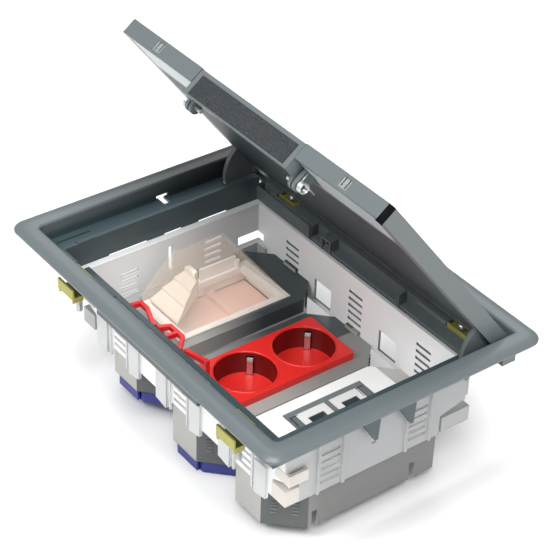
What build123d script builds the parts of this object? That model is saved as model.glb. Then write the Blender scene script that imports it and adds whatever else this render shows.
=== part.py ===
"""Floor socket box with a hinged lid, three drop-in trays and a spring cord outlet.

Millimetres. Z points up and z = 0 is the finished floor, which carries the rim of the trim frame.
X runs along the hinge, Y runs from the cord outlet at the front to the hinge at the back.
The origin is the middle of the floor cut-out. The lid is modelled shut and then swung open.
"""
from build123d import *
from math import atan2, cos, degrees, radians, sin
import os

# Trim frame: the flange on the floor and the recess that takes the lid
FRAME_X = 273.0
FRAME_Y = 196.0
FRAME_CORNER_R = 9.0
FLANGE_EDGE = 1.2
FLANGE_RISE = 2.3
FLANGE_BEVEL = 4.6
FLANGE_CREST = 1.5
FLANGE_SIDE = 13.6
FLANGE_FRONT = 13.0
FLANGE_BACK = 11.7
OPENING_CORNER_R = 4.0
WALL = 2.2
LEDGE_TOP = -9.6
LEDGE_T = 2.0
LEDGE_SIDE = 13.9
LEDGE_FRONT = 10.0
BEAD_W = 3.4
BEAD_H = 0.7
BEAD_END = 10.0
SKIRT_T = 2.0
SKIRT_BOTTOM = -26.0
SKIRT_CORNER_DROP = 2.6
SKIRT_CORNER_X = 64.0
SKIRT_CORNER_Y = 32.0
CHANNEL_GAP = 1.3
CHANNEL_FLOOR = -17.0
TROUGH_TOP = -16.0
TROUGH_W = 7.8
TROUGH_INNER = 4.5
BACK_LIP = 5.5
SLIT_W = 1.4
SLIT_IN = 5.9
SLIT_LONG = 25.0
TEE_W = 9.0
TEE_Y = 6.5
HOOK_W = 13.6
HOOK_TIP = 3.2
HOOK_DROP = 17.0
HOOK_T = 2.6
HOOK_NOSE = 1.6
HOOK_PLACES = (-8.0, 18.5)

# Fittings on the inner face of the hinge side
FITTING_DEPTH = 4.2
FITTING_T = 1.5
BLOCK_SPAN = (-98.0, -51.0)
BRACKET_SPAN = (-38.6, -30.0)
RIB_X = 36.8
RAIL_SPAN = (49.0, 77.0)
RAIL_R = 1.6
POST_X = 94.0

# Lid
LID_TOP = 2.2
LID_T = 10.5
LID_GAP = 0.5
LID_OPEN = 52.7
HINGE_Z = -6.4
HINGE_PIN_R = 2.0
HINGE_BOSS_R = 4.2
HINGE_CLEAR = 0.08
RUN_GAP = 0.4
SIDE_BAR = 8.0
FRONT_ZONE = 35.0
LID_RIM = 3.0
INSERT_DEPTH = 4.5
INSERT_LOW = 0.2
WEB_T = 2.0
PLATE_T = 1.5
SKIN_T = 1.5
FIT_GAP = 0.3
HINGE_ARM_R = 26.5
HINGE_ARM_T = 3.0
HINGE_ARM_IN = 7.0
PLATE_END = 9.0
STIFFENER_X = 70.0

# Cord outlet in the free edge of the lid
FLAP_HALF = 48.8
FLAP_SIDE_GAP = 0.5
OUTLET_BACK = 20.4
FLAP_DEPTH = 18.0
FLAP_TOP = 0.5
FLAP_WALL = 2.6
FLAP_STRIP = 9.0
FLAP_RIM = 2.7
FLAP_PIVOT_S = 15.0
FLAP_PIVOT_T = 19.0
FLAP_ROLL_R = 17.2
FLAP_ROLL_T = 1.8
FLAP_CHEEK_T = 2.2
FLAP_HUB_R = 4.2
FLAP_PIN_R = 1.5
FOAM_T = 2.4
FOAM_INSET = 3.8
LUG_T = 2.4
SPRING_R = 3.4
SPRING_WIRE = 1.5
SPRING_LONG = 4.5

# Snap catches in the free edge of the lid
CATCH_X = 88.0
CATCH_W = 7.0
CATCH_H = 6.4
CATCH_TOP = 2.2
CATCH_DEPTH = 2.4
CATCH_SLOT = 1.0

# Floor clamps
CLAMP_IN = 38.9
CLAMP_FRONT_IN = 4.4
CLAMP_BACK_IN = 3.5
CLAMP_PLATE_X = 17.0
CLAMP_PLATE_Y = 6.8
CLAMP_LIP = 3.2
CLAMP_LIP_OUT = 1.6
CLAMP_PLATE_T = 1.2
SCREW_R = 2.0
SCREW_HEAD_R = 3.3
SCREW_HEAD_H = 2.2
SCREW_LEN = 26.0
SCREW_SLOT = 1.0
CLAW_W = 20.0
CLAW_T = 2.0
CLAW_GRIP = -13.0
CLAW_ROOT = 2.6
CLAW_REACH = 3.3
CLAW_NUT = 4.0
CLAW_CLEAR = 5.0
WELL_DEPTH_FRONT = 3.8
WELL_DEPTH_BACK = 3.0

# Carrier box: four walls that hang under the frame
BOX_SIDE_GAP = 3.5
BOX_FRONT_GAP = 12.0
BOX_BACK_GAP = 1.4
BOX_WALL = 1.8
BOX_HANG = 0.4
BOX_DEPTH = 42.6
BOX_RIM_T = 1.8
SLOT_H = 2.2
SLOT_W = 13.5
SLOT_PITCH = 5.2
SLOTS = 6
SIDE_SLOTS = 5
SIDE_LADDER_Y = (-31.5, 33.5)
SIDE_LADDER_DROP = 15.2
END_LADDER_DROP = 12.1
RIB_T = 1.6
RIB_OUT = 2.2
TAB_IN = 2.4
TAB_W = 11.0
TAB_TOP = 24.0
TAB_LOW = 5.0
WINDOW_X = 32.9
WINDOW_W = 17.2
WINDOW_H = 16.0
CORNER_FRONT = (12.0, 9.0)
CORNER_BACK = (11.0, 20.5)
CORNER_TOP = 23.5
CORNER_SLOPE = 5.5
BLOCK_H = 11.0
BLOCK_TOP = 29.8
BLOCK_T = 1.6
BLOCK_PROUD = 1.2

# Trays
TRAY_SIDE_GAP = 7.3
TRAY_X = 64.6
TRAY_FRONT_GAP = 3.3
TRAY_BACK_GAP = 2.2
TRAY_DEPTH = 36.2
TRAY_WALL = 1.6
TRAY_CUT_FRONT = 19.8
TRAY_CUT_BACK = 14.0
TRAY_DROP_LEFT = 29.2
TRAY_DROP = 40.0
TRAY_SLOT_W = 4.4
TRAY_SLOT_H = 12.0
TRAY_SLOT_Y = (-34.9, 38.5)
TOOTH_W = 4.0
TOOTH_H = 1.3
TOOTH_OUT = 0.8
TOOTH_PITCH = 2.7
TOOTH_PLACE = 6.2
TEETH = 5
MODULE = 45.0
MODULE_Y = 7.6
SLOT_CLEAR = 0.3

# Blue wiring cups under two of the trays
CUP_DROP = 9.6
CUP_LAP = 4.0
CUP_WALL = 1.8
CUP_NOTCH = 4.0

# Cord straps
STRAP_RISE = 9.1
STRAP_H = 3.2
STRAP_T = 2.6
STRAP_FOOT = 3.0

# Twin earthed socket
SOCKET_R = 19.6
SOCKET_DEPTH = 17.5
SOCKET_WALL = 1.4
SOCKET_PROUD = 5.0
SOCKET_SKIN = 1.8
SOCKET_EDGE = 1.6
WELL_TURN = 45.0
PIN_PITCH = 19.0
PIN_HOLE_R = 2.6
CONTACT_R = 2.4
CONTACT_T = 0.6
CONTACT_W = 5.0
CONTACT_H = 10.0
SHUTTER_T = 1.2
SHUTTER_X = 27.0
SHUTTER_Y = 8.0
CLIP_W = 3.8
CLIP_T = 1.0
CLIP_IN = 1.9
GUIDE_W = 6.0
GUIDE_IN = 1.0
BASE_H = 14.0

# Clear hood over the wiring tray
HOOD_X = (-28.1, 26.4)
HOOD_LOW_Y = (-41.5, 49.0)
HOOD_FOOT_Y = (-31.0, 46.0)
HOOD_RIDGE_Y = (-6.0, 34.0)
HOOD_T = 1.6
HOOD_LOW = 2.6
HOOD_RIDGE = (27.2, 23.6)
HOOD_SPACE = 2.2

# Wiring frame, ramp and blanking floor under the hood
TERMINAL_SIDE = 1.6
TERMINAL_END = 2.4
TERMINAL_H = 14.0
TERMINAL_RIM = 5.0
TERMINAL_WALL_T = 1.8
TERMINAL_WALL_H = 8.5
TERMINAL_WALL_Y = (12.0, 40.0)
KNOB_R = 1.6
KNOB_H = 6.0
RAMP_W = 20.0
RAMP_LONG = 44.0
RAMP_H = 19.0
RAMP_T = 1.6
RAMP_IN = 2.0
FLOOR_DROP = 14.2
FLOOR_T = 2.8
FLOOR_BAR_W = 6.0
FLOOR_BAR_H = 3.7

# Data outlet
COVER_X = 62.0
COVER_Y = 104.0
COVER_MID = 5.0
COVER_T = 1.6
COVER_CORNER_R = 5.0
INSERT_Y = 58.5
INSERT_MID = 10.6
INSERT_T = 3.0
INSERT_PROUD = 0.4
JACK_W = 22.0
JACK_L = 30.0
JACK_GAP = 1.6
JACK_DEEP = 20.0
PORT_W = 11.8
PORT_L = 8.0
PORT_KEY_W = 6.4
PORT_CLIP_W = 3.4
PORT_STEP = 2.1
LABEL_W = 4.4
LABEL_L = 28.0

# Values that follow from the driving sizes
OPENING_X = FRAME_X - 2 * FLANGE_SIDE
OPENING_FRONT = FLANGE_FRONT - FRAME_Y / 2
OPENING_BACK = FRAME_Y / 2 - FLANGE_BACK
HALF_X = OPENING_X / 2
LID_X = OPENING_X - 2 * RUN_GAP
LID_HALF = LID_X / 2
ROLL_R = LID_TOP - HINGE_Z
HINGE_Y = OPENING_BACK - RUN_GAP - ROLL_R
LID_FRONT = OPENING_FRONT + LID_GAP
LID_UNDER = LID_TOP - LID_T
SHELL_X = HALF_X + WALL
SHELL_FRONT = OPENING_FRONT - WALL
SHELL_BACK = OPENING_BACK + WALL
LEDGE_UNDER = LEDGE_TOP - LEDGE_T
LEDGE_IN_X = HALF_X - LEDGE_SIDE
LEDGE_IN_FRONT = OPENING_FRONT + LEDGE_FRONT
BACK_WALL_IN = OPENING_BACK - TROUGH_W
BACK_LIP_IN = BACK_WALL_IN - BACK_LIP
TROUGH_UNDER = TROUGH_TOP - LEDGE_T
OUTLET_HALF = FLAP_HALF + FLAP_SIDE_GAP
FOAM_HALF = FLAP_HALF - FOAM_INSET
CHANNEL_HALF = OUTLET_HALF + CHANNEL_GAP
LUG_X = OUTLET_HALF + 2 * RUN_GAP
FLAP_Y = LID_FRONT + FLAP_PIVOT_S
FLAP_Z = LID_TOP - FLAP_PIVOT_T
HINGE_ARM_X = LID_HALF - HINGE_ARM_IN
HINGE_AXIS = Axis((0, HINGE_Y, HINGE_Z), (1, 0, 0))
BOX_HALF = LEDGE_IN_X - BOX_SIDE_GAP
BOX_FRONT = LEDGE_IN_FRONT + BOX_FRONT_GAP
BOX_BACK = BACK_LIP_IN - BOX_BACK_GAP
BOX_TOP = SKIRT_BOTTOM - BOX_HANG
BOX_BOTTOM = BOX_TOP - BOX_DEPTH
RIM_X = LEDGE_IN_X - BOX_HANG
TRAY_PITCH = BOX_HALF - TRAY_SIDE_GAP - TRAY_X / 2
TRAY_FRONT = BOX_FRONT + TRAY_FRONT_GAP
TRAY_BACK = BOX_BACK - TRAY_BACK_GAP
TRAY_TOP_LEFT = BOX_TOP - TRAY_DROP_LEFT
TRAY_TOP = BOX_TOP - TRAY_DROP
TRAY_XS = (-TRAY_PITCH, 0.0, TRAY_PITCH)
TRAY_TOPS = (TRAY_TOP_LEFT, TRAY_TOP, TRAY_TOP)
MODULE_ENDS = (MODULE_Y - MODULE, MODULE_Y + MODULE)
PLATE_TOP = TRAY_TOP + SOCKET_PROUD
WELL_FLOOR = PLATE_TOP - SOCKET_DEPTH
STRAP_Z = TRAY_TOP_LEFT + STRAP_RISE
CLAMP_X = HALF_X - CLAMP_IN
CLAMP_FRONT = (OPENING_FRONT + CLAMP_FRONT_IN, LEDGE_TOP - WELL_DEPTH_FRONT, -1)
CLAMP_BACK = (OPENING_BACK - CLAMP_BACK_IN, TROUGH_TOP - WELL_DEPTH_BACK, 1)
CLAMPS = {
    "front_left": (-CLAMP_X, *CLAMP_FRONT),
    "front_right": (CLAMP_X, *CLAMP_FRONT),
    "back_left": (-CLAMP_X, *CLAMP_BACK),
    "back_right": (CLAMP_X, *CLAMP_BACK),
}


def span(x, y, z):
    """A box between two x, two y and two z values, given in either order."""
    (x0, x1), (y0, y1), (z0, z1) = sorted(x), sorted(y), sorted(z)
    return Pos((x0 + x1) / 2, (y0 + y1) / 2, (z0 + z1) / 2) * Box(x1 - x0, y1 - y0, z1 - z0)


def plan_prism(points, z0, z1):
    """A straight prism on a closed outline in plan."""
    face = make_face(Polyline(*points, close=True))
    return Pos(0, 0, z0) * extrude(face, z1 - z0, dir=(0, 0, 1))


def side_prism(points, x0, x1):
    """A prism along X on a closed outline of (y, z) points."""
    face = make_face(Polyline(*[(0, y, z) for y, z in points], close=True))
    return Pos(x0, 0, 0) * extrude(face, x1 - x0, dir=(1, 0, 0))


def front_prism(points, y0, y1):
    """A prism along Y on a closed outline of (x, z) points."""
    face = make_face(Polyline(*[(x, 0, z) for x, z in points], close=True))
    return Pos(0, y0, 0) * extrude(face, y1 - y0, dir=(0, 1, 0))


def rod_x(x0, x1, y, z, r):
    """A cylinder along X."""
    return Pos((x0 + x1) / 2, y, z) * Rot(0, 90, 0) * Cylinder(r, x1 - x0)


def rod_z(x, y, z0, z1, r):
    """An upright cylinder."""
    return Pos(x, y, (z0 + z1) / 2) * Cylinder(r, z1 - z0)


def both(shape):
    """A shape and its mirror image across the middle plane x = 0."""
    return shape + mirror(shape, Plane.YZ)


def joined(shapes):
    """One shape from many."""
    whole = shapes[0]
    for shape in shapes[1:]:
        whole = whole + shape
    return whole


def round_rect(x, y, r, z, height):
    """A rounded slab between two x and two y values."""
    plate = RectangleRounded(x[1] - x[0], y[1] - y[0], r)
    return Pos((x[0] + x[1]) / 2, (y[0] + y[1]) / 2, z) * extrude(plate, height)


def lid_y(s):
    """Y of a place on the shut lid, s behind its free edge."""
    return LID_FRONT + s


def lid_z(t):
    """Z of a place in the shut lid, t below its top."""
    return LID_TOP - t


def opened(shape):
    """Swing a piece of the lid from shut to the open pose."""
    return shape.rotate(HINGE_AXIS, -LID_OPEN)


def lid_opening(z0, z1):
    """The hollow that the lid lies in: round corners in front and square ones at the hinge."""
    hole = round_rect((-HALF_X, HALF_X), (OPENING_FRONT, OPENING_BACK), OPENING_CORNER_R, z0, z1 - z0)
    return hole + span((-HALF_X, HALF_X), (HINGE_Y, OPENING_BACK), (z0, z1))


def flange():
    """The rim that lies on the floor: a bevelled rounded frame."""
    x, y = FRAME_X / 2, FRAME_Y / 2
    rim = round_rect((-x, x), (-y, y), FRAME_CORNER_R, 0, FLANGE_EDGE)
    taper = degrees(atan2(FLANGE_BEVEL, FLANGE_RISE))
    plan = RectangleRounded(FRAME_X, FRAME_Y, FRAME_CORNER_R)
    crown = Pos(0, 0, FLANGE_EDGE) * extrude(plan, FLANGE_RISE, taper=taper)
    body = rim + crown
    body = chamfer(body.edges().group_by(Axis.Z)[-1], FLANGE_CREST)
    body -= lid_opening(-1, FLANGE_EDGE + FLANGE_RISE + 1)
    inner = [e for e in body.edges().group_by(Axis.Z)[-1] if borders_opening(e.center())]
    return chamfer(inner, FLANGE_EDGE + FLANGE_RISE - LID_TOP)


def borders_opening(point):
    """Whether a point lies on the edge of the lid opening and not further out."""
    inside_x = abs(point.X) < HALF_X + RUN_GAP
    return inside_x and OPENING_FRONT - RUN_GAP < point.Y < OPENING_BACK + RUN_GAP


def recess():
    """The well under the flange with its ledge and the wall behind the lid's roll."""
    outer = round_rect((-SHELL_X, SHELL_X), (SHELL_FRONT, SHELL_BACK), OPENING_CORNER_R + WALL,
                       LEDGE_UNDER, -LEDGE_UNDER)
    well = outer - lid_opening(LEDGE_TOP, 1)
    well -= span((-LEDGE_IN_X, LEDGE_IN_X), (LEDGE_IN_FRONT, BACK_WALL_IN + SKIRT_T),
                 (LEDGE_UNDER - 1, 1))
    side = SHELL_X - 1
    return well + span((-side, side), (BACK_WALL_IN, SHELL_BACK), (TROUGH_UNDER, LEDGE_TOP))


def trough_hollow():
    """The room that the lid's roll turns in, along the hinge side."""
    return span((-HALF_X, HALF_X), (BACK_WALL_IN - TROUGH_INNER, OPENING_BACK), (TROUGH_TOP, 0))


def skirt():
    """The lower wall that drops from the ledge into the box, with deeper corners."""
    low, drop = SKIRT_BOTTOM, SKIRT_BOTTOM - SKIRT_CORNER_DROP
    side = (LEDGE_IN_X, LEDGE_IN_X + SKIRT_T)
    front = (LEDGE_IN_FRONT - SKIRT_T, LEDGE_IN_FRONT)
    back = (BACK_WALL_IN, BACK_WALL_IN + SKIRT_T)
    lip = (BACK_LIP_IN, BACK_LIP_IN + SKIRT_T)
    whole = both(span(side, (front[0], back[1]), (low, LEDGE_UNDER)))
    whole += span((-LEDGE_IN_X, LEDGE_IN_X), front, (low, LEDGE_TOP))
    whole += span((-LEDGE_IN_X, LEDGE_IN_X), back, (low, TROUGH_UNDER))
    whole += span((-LEDGE_IN_X, LEDGE_IN_X), (lip[0], back[1]), (low, low + SKIRT_T))
    corner_x = (LEDGE_IN_X - SKIRT_CORNER_X, LEDGE_IN_X + SKIRT_T)
    whole += both(span(corner_x, front, (drop, low)) + span(corner_x, lip, (drop, low)))
    whole += both(span(side, (front[1], front[1] + SKIRT_CORNER_Y), (drop, low)))
    return whole + both(span(side, (back[1] - SKIRT_CORNER_Y, back[1]), (drop, low)))


def beads():
    """The raised line along the inner edge of each side ledge, which carries the lid."""
    bar = span((LEDGE_IN_X, LEDGE_IN_X + BEAD_W), (LEDGE_IN_FRONT + BEAD_END, BACK_WALL_IN - BEAD_END),
               (LEDGE_TOP, LEDGE_TOP + BEAD_H))
    return both(chamfer(bar.edges().filter_by(Axis.Y).group_by(Axis.Z)[-1], BEAD_H * 0.7))


def cord_channel():
    """The lowered stretch of the front ledge that cords run through: its walls and its hollow."""
    wide = CHANNEL_HALF + WALL
    block = span((-wide, wide), (SHELL_FRONT, LEDGE_IN_FRONT), (CHANNEL_FLOOR - LEDGE_T, LEDGE_UNDER))
    hollow = span((-CHANNEL_HALF, CHANNEL_HALF), (OPENING_FRONT, LEDGE_IN_FRONT + 1), (CHANNEL_FLOOR, 0))
    return block, hollow


def clamp_well(place):
    """A sunk pocket for a clamp plate: the boss round it and the hollow in it."""
    x, y, floor, way = CLAMPS[place]
    half_x, half_y = CLAMP_PLATE_X / 2 + FIT_GAP, CLAMP_PLATE_Y / 2 + FIT_GAP
    top = LEDGE_TOP if way < 0 else TROUGH_TOP
    inner = y - way * (CLAMP_PLATE_Y / 2 + CLAMP_LIP_OUT + SKIRT_T)
    boss_in = y - way * (CLAMP_PLATE_Y / 2 + FIT_GAP)
    across = (x - half_x, x + half_x)
    hollow = span(across, (y + way * half_y, inner), (floor, top + 1))
    hollow += rod_z(x, y, floor - LEDGE_T - 1, floor + 1, SCREW_R + FIT_GAP)
    wide = (across[0] - WALL, across[1] + WALL)
    boss = span(wide, (y + way * half_y, boss_in), (floor - LEDGE_T, top - LEDGE_T))
    return boss, hollow


def claw_relief(place):
    """The room that a back claw needs in the outer face of the skirt."""
    x, y, floor, way = CLAMPS[place]
    half = CLAW_W / 2 + 1
    return span((x - half, x + half), (y - way * (CLAW_ROOT + FIT_GAP), y + way),
                (SKIRT_BOTTOM - 1, floor - LEDGE_T))


def fitting_frame(ends, low, high):
    """An open bracket on the hinge side's inner wall: two standing walls and a floor."""
    y = (BACK_WALL_IN - FITTING_DEPTH, BACK_WALL_IN)
    body = span(ends, y, (low, high))
    inside = (ends[0] + FITTING_T, ends[1] - FITTING_T)
    return body - span(inside, (y[0] - 1, y[1]), (low + FITTING_T, high + 1))


def back_fittings():
    """The block, bracket, rib, rail and post on the inner face of the hinge side."""
    low, high = SKIRT_BOTTOM + SKIRT_T, TROUGH_TOP
    y = (BACK_WALL_IN - FITTING_DEPTH, BACK_WALL_IN)
    block = span(BLOCK_SPAN, y, (low, high))
    inside = (BLOCK_SPAN[0] + FITTING_T, BLOCK_SPAN[1] - FITTING_T)
    block -= span(inside, (y[0] + FITTING_T, y[1]), (low - 1, high - FITTING_T))
    rib = span((RIB_X - FITTING_T / 2, RIB_X + FITTING_T / 2), y, (low - 1, high))
    rail = rod_x(*RAIL_SPAN, BACK_WALL_IN, high - RAIL_R, RAIL_R)
    post = span((POST_X - FITTING_T / 2, POST_X + FITTING_T / 2), (BACK_WALL_IN - FITTING_T, y[1]),
                (low, high))
    return block + fitting_frame(BRACKET_SPAN, low, high) + rib + rail + post


def side_slits():
    """The slit and its round end in the ledge of each short side."""
    x = HALF_X - SLIT_IN
    slit = span((x, x + SLIT_W), (LEDGE_IN_FRONT - 1, LEDGE_IN_FRONT - 1 + SLIT_LONG),
                (LEDGE_UNDER - 1, LEDGE_TOP + 1))
    end = rod_z(x + SLIT_W / 2, LEDGE_IN_FRONT - 1, LEDGE_UNDER - 1, LEDGE_TOP + 1, SLIT_W)
    return both(slit + end)


def tee_slot():
    """The T-shaped cut-out in the left wall and its ledge."""
    tee = span((-SHELL_X - 1, -HALF_X + 1), (TEE_Y - TEE_W / 2, TEE_Y + TEE_W / 2),
               (LEDGE_TOP, LEDGE_TOP + 3.2))
    return tee + span((-SHELL_X - 1, -HALF_X + SLIT_IN), (TEE_Y - TEE_W / 4, TEE_Y + TEE_W / 4),
                      (LEDGE_UNDER - 1, LEDGE_TOP + 1))


def side_hooks():
    """Wedge hooks outside the carrier's rim, each with a nose that snaps under the rim."""
    top, hooks = SKIRT_BOTTOM, []
    nose_top = BOX_TOP - BOX_RIM_T - BOX_HANG
    for y in HOOK_PLACES:
        y0, y1 = y - HOOK_W / 2, y + HOOK_W / 2
        tip = (y1 - HOOK_TIP, top - HOOK_DROP)
        outline = [(y0, top), (y1, top), (y1, top - 4), (y1 - 1, top - HOOK_DROP), tip]
        hooks.append(side_prism(outline, LEDGE_IN_X, LEDGE_IN_X + HOOK_T))
        nose = [(LEDGE_IN_X, nose_top), (LEDGE_IN_X - HOOK_NOSE, nose_top), (LEDGE_IN_X, nose_top - 3)]
        hooks.append(front_prism(nose, y + 1, y1 - 1))
    return both(joined(hooks))


def trim_frame():
    """The plastic frame with its floor flange, lid recess, cord channel and hooks."""
    body = flange() + recess() + skirt() + beads() + back_fittings()
    channel, channel_hollow = cord_channel()
    body += channel
    hollows = [channel_hollow, trough_hollow(), side_slits(), tee_slot()]
    for place in CLAMPS:
        boss, hollow = clamp_well(place)
        body += boss
        hollows.append(hollow)
        if CLAMPS[place][3] > 0:
            hollows.append(claw_relief(place))
    body += both(rod_x(HALF_X, SHELL_X + WALL, HINGE_Y, HINGE_Z, HINGE_BOSS_R))
    hollows.append(both(rod_x(HALF_X - 1, SHELL_X + WALL, HINGE_Y, HINGE_Z, HINGE_PIN_R)))
    reach = HINGE_ARM_R + 2 * RUN_GAP
    hollows.append(both(span((HINGE_ARM_X - 2 * RUN_GAP, HINGE_ARM_X + HINGE_ARM_T + 2 * RUN_GAP),
                             (HINGE_Y - reach, HINGE_Y + 2), (TROUGH_UNDER - 1, LEDGE_TOP + 2))))
    for hollow in hollows:
        body -= hollow
    return body + side_hooks()


def lid_section(x0, x1):
    """The shut lid's solid section: a flat slab that ends in a roll round the hinge axis."""
    slab = span((x0, x1), (LID_FRONT, HINGE_Y), (LID_UNDER, LID_TOP))
    corners = slab.edges().filter_by(Axis.Z).group_by(Axis.Y)[0]
    slab = fillet(corners, OPENING_CORNER_R - RUN_GAP)
    roll = rod_x(x0, x1, HINGE_Y, HINGE_Z, ROLL_R)
    roll &= span((x0 - 1, x1 + 1), (HINGE_Y, HINGE_Y + 2 * ROLL_R), (LID_UNDER, LID_TOP + 1))
    return slab + roll


def lid_frame():
    """The lid's moulded body: rim, front box with the outlet gap, web and underside pocket."""
    rim_x, under_x = LID_HALF - LID_RIM, LID_HALF - SIDE_BAR
    low, web_low = LID_UNDER - 1, lid_z(INSERT_DEPTH + WEB_T)
    body = lid_section(-LID_HALF, LID_HALF)
    body -= span((-rim_x, rim_x), (lid_y(FRONT_ZONE), HINGE_Y - 2), (lid_z(INSERT_DEPTH), LID_TOP + 1))
    body -= span((-under_x, under_x), (lid_y(FRONT_ZONE + 2), HINGE_Y - PLATE_END), (low, web_low))
    body -= both(span((OUTLET_HALF + LID_RIM, under_x), (lid_y(LID_RIM), lid_y(FRONT_ZONE - 2)),
                      (low, lid_z(SKIN_T))))
    body -= span((-OUTLET_HALF, OUTLET_HALF), (LID_FRONT - 1, lid_y(OUTLET_BACK)), (low, LID_TOP + 1))
    body -= span((-OUTLET_HALF, OUTLET_HALF), (lid_y(OUTLET_BACK - 1), lid_y(FRONT_ZONE - 2)),
                 (low, lid_z(SKIN_T)))
    for x in (-STIFFENER_X, 0, STIFFENER_X):
        body += span((x - WEB_T / 2, x + WEB_T / 2), (lid_y(FRONT_ZONE + 1), HINGE_Y - PLATE_END + 1),
                     (LID_UNDER + PLATE_T + FIT_GAP, web_low + 1))
    body += both(outlet_lug())
    body -= both(rod_x(OUTLET_HALF - 1, LUG_X + LUG_T + 1, FLAP_Y, FLAP_Z, FLAP_PIN_R))
    body += both(rod_x(under_x, LID_HALF, HINGE_Y, HINGE_Z, HINGE_BOSS_R))
    body -= both(rod_x(under_x - 1, LID_HALF + 1, HINGE_Y, HINGE_Z, HINGE_PIN_R + HINGE_CLEAR))
    return body - both(catch_pocket())


def outlet_lug():
    """The ear under the lid that carries one end of the cord outlet's pivot."""
    hub = rod_x(LUG_X, LUG_X + LUG_T, FLAP_Y, FLAP_Z, FLAP_HUB_R)
    front, back = FLAP_Y - FLAP_HUB_R, FLAP_Y + FLAP_HUB_R
    web = [(front, FLAP_Z), (back, FLAP_Z), (back + FLAP_HUB_R, LID_UNDER + 2), (front, LID_UNDER + 2)]
    return hub + side_prism(web, LUG_X, LUG_X + LUG_T)


def catch_pocket():
    """The hole in the lid's free edge that a snap catch sits in."""
    half = CATCH_W / 2
    return span((CATCH_X - half, CATCH_X + half), (LID_FRONT - 1, lid_y(CATCH_DEPTH)),
                (lid_z(CATCH_TOP + CATCH_H), lid_z(CATCH_TOP)))


def lid_catches():
    """Two snap catches: two prongs, a tab below them, a small hole and a nose."""
    half = CATCH_W / 2
    low, high = lid_z(CATCH_TOP + CATCH_H), lid_z(CATCH_TOP)
    y = (lid_y(RUN_GAP), lid_y(CATCH_DEPTH))
    cut_y = (LID_FRONT, y[1] + 1)
    block = span((CATCH_X - half, CATCH_X + half), y, (low, high))
    for way in (-1, 1):
        slot = CATCH_X + way * half / 2
        block -= span((slot - CATCH_SLOT / 2, slot + CATCH_SLOT / 2), cut_y, (low + CATCH_SLOT, high + 1))
    block -= span((CATCH_X + half / 3, CATCH_X + half / 3 + CATCH_SLOT), cut_y,
                  (low + CATCH_SLOT / 2, low + 2 * CATCH_SLOT))
    nose = [(y[0], low + 2 * CATCH_SLOT), (y[0] - RUN_GAP + 0.05, low + 2.6 * CATCH_SLOT),
            (y[0], low + 4 * CATCH_SLOT)]
    return both(block + side_prism(nose, CATCH_X - half / 3, CATCH_X + half / 3))


def lid_plate():
    """The steel sheet that closes the lid's underside."""
    x = LID_HALF - SIDE_BAR - FIT_GAP
    y = (lid_y(FRONT_ZONE + 2 + FIT_GAP), HINGE_Y - PLATE_END - FIT_GAP)
    return span((-x, x), y, (LID_UNDER, LID_UNDER + PLATE_T))


def front_bars():
    """The two bright strips that close the front box beside the cord outlet."""
    x = (OUTLET_HALF + LID_RIM + FIT_GAP, LID_HALF - SIDE_BAR - FIT_GAP)
    y = (lid_y(LID_RIM + FIT_GAP), lid_y(FRONT_ZONE - 2 - FIT_GAP))
    return both(span(x, y, (LID_UNDER, LID_UNDER + PLATE_T)))


def lid_insert():
    """The blank infill panel that lies in the lid's top."""
    x = LID_HALF - LID_RIM - FIT_GAP
    y = (lid_y(FRONT_ZONE + FIT_GAP), HINGE_Y - 2 - FIT_GAP)
    return span((-x, x), y, (lid_z(INSERT_DEPTH), lid_z(INSERT_LOW)))


def hinge_arm(side):
    """The quarter-round cheek under a back corner of the lid."""
    x = (HINGE_ARM_X, HINGE_ARM_X + HINGE_ARM_T)
    disc = rod_x(*x, HINGE_Y, HINGE_Z, HINGE_ARM_R)
    quarter = span((x[0] - 1, x[1] + 1), (HINGE_Y - HINGE_ARM_R - 1, HINGE_Y),
                   (HINGE_Z - HINGE_ARM_R - 1, LID_UNDER))
    arm = (disc & quarter) - rod_x(x[0] - 1, x[1] + 1, HINGE_Y, HINGE_Z, HINGE_BOSS_R + 0.1)
    return arm if side > 0 else mirror(arm, Plane.YZ)


def hinge_pins():
    """The two pins that the lid turns on, held in the frame's side walls."""
    return both(rod_x(LID_HALF - SIDE_BAR + 1, SHELL_X + WALL - FIT_GAP, HINGE_Y, HINGE_Z, HINGE_PIN_R))


def outlet_flap():
    """The cord outlet's flap: a front wall, a rim round the foam and a roll under the lid."""
    x = (-FLAP_HALF, FLAP_HALF)
    face, back = lid_y(FIT_GAP), lid_y(FIT_GAP + FOAM_T)
    low, high = lid_z(FLAP_DEPTH), lid_z(FLAP_TOP)
    rim_y = (face, back)
    body = span(x, (back, back + FLAP_WALL), (low, high - 1))
    body += span(x, (face, lid_y(FLAP_STRIP)), (high - FLAP_WALL / 2, high))
    body += span(x, rim_y, (high - FLAP_RIM, high)) + span(x, rim_y, (low, low + 1))
    body += both(span((FOAM_HALF + FIT_GAP, FLAP_HALF), rim_y, (low, high)))
    body += flap_roll() + both(flap_cheek())
    pin_end = FOAM_HALF - FLAP_HUB_R
    return body - both(rod_x(pin_end, FLAP_HALF + 1, FLAP_Y, FLAP_Z, FLAP_PIN_R + HINGE_CLEAR))


def flap_roll():
    """The curved shell of the flap, concentric with its pivot."""
    x = (-FLAP_HALF, FLAP_HALF)
    shell = rod_x(*x, FLAP_Y, FLAP_Z, FLAP_ROLL_R)
    shell -= rod_x(x[0] - 1, x[1] + 1, FLAP_Y, FLAP_Z, FLAP_ROLL_R - FLAP_ROLL_T)
    reach = 1.3 * FLAP_ROLL_R
    keep = [(FLAP_Y, FLAP_Z)]
    for angle in (132, 105, 68):
        keep.append((FLAP_Y + reach * cos(radians(angle)), FLAP_Z + reach * sin(radians(angle))))
    return shell & side_prism(keep, x[0] - 1, x[1] + 1)


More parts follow.
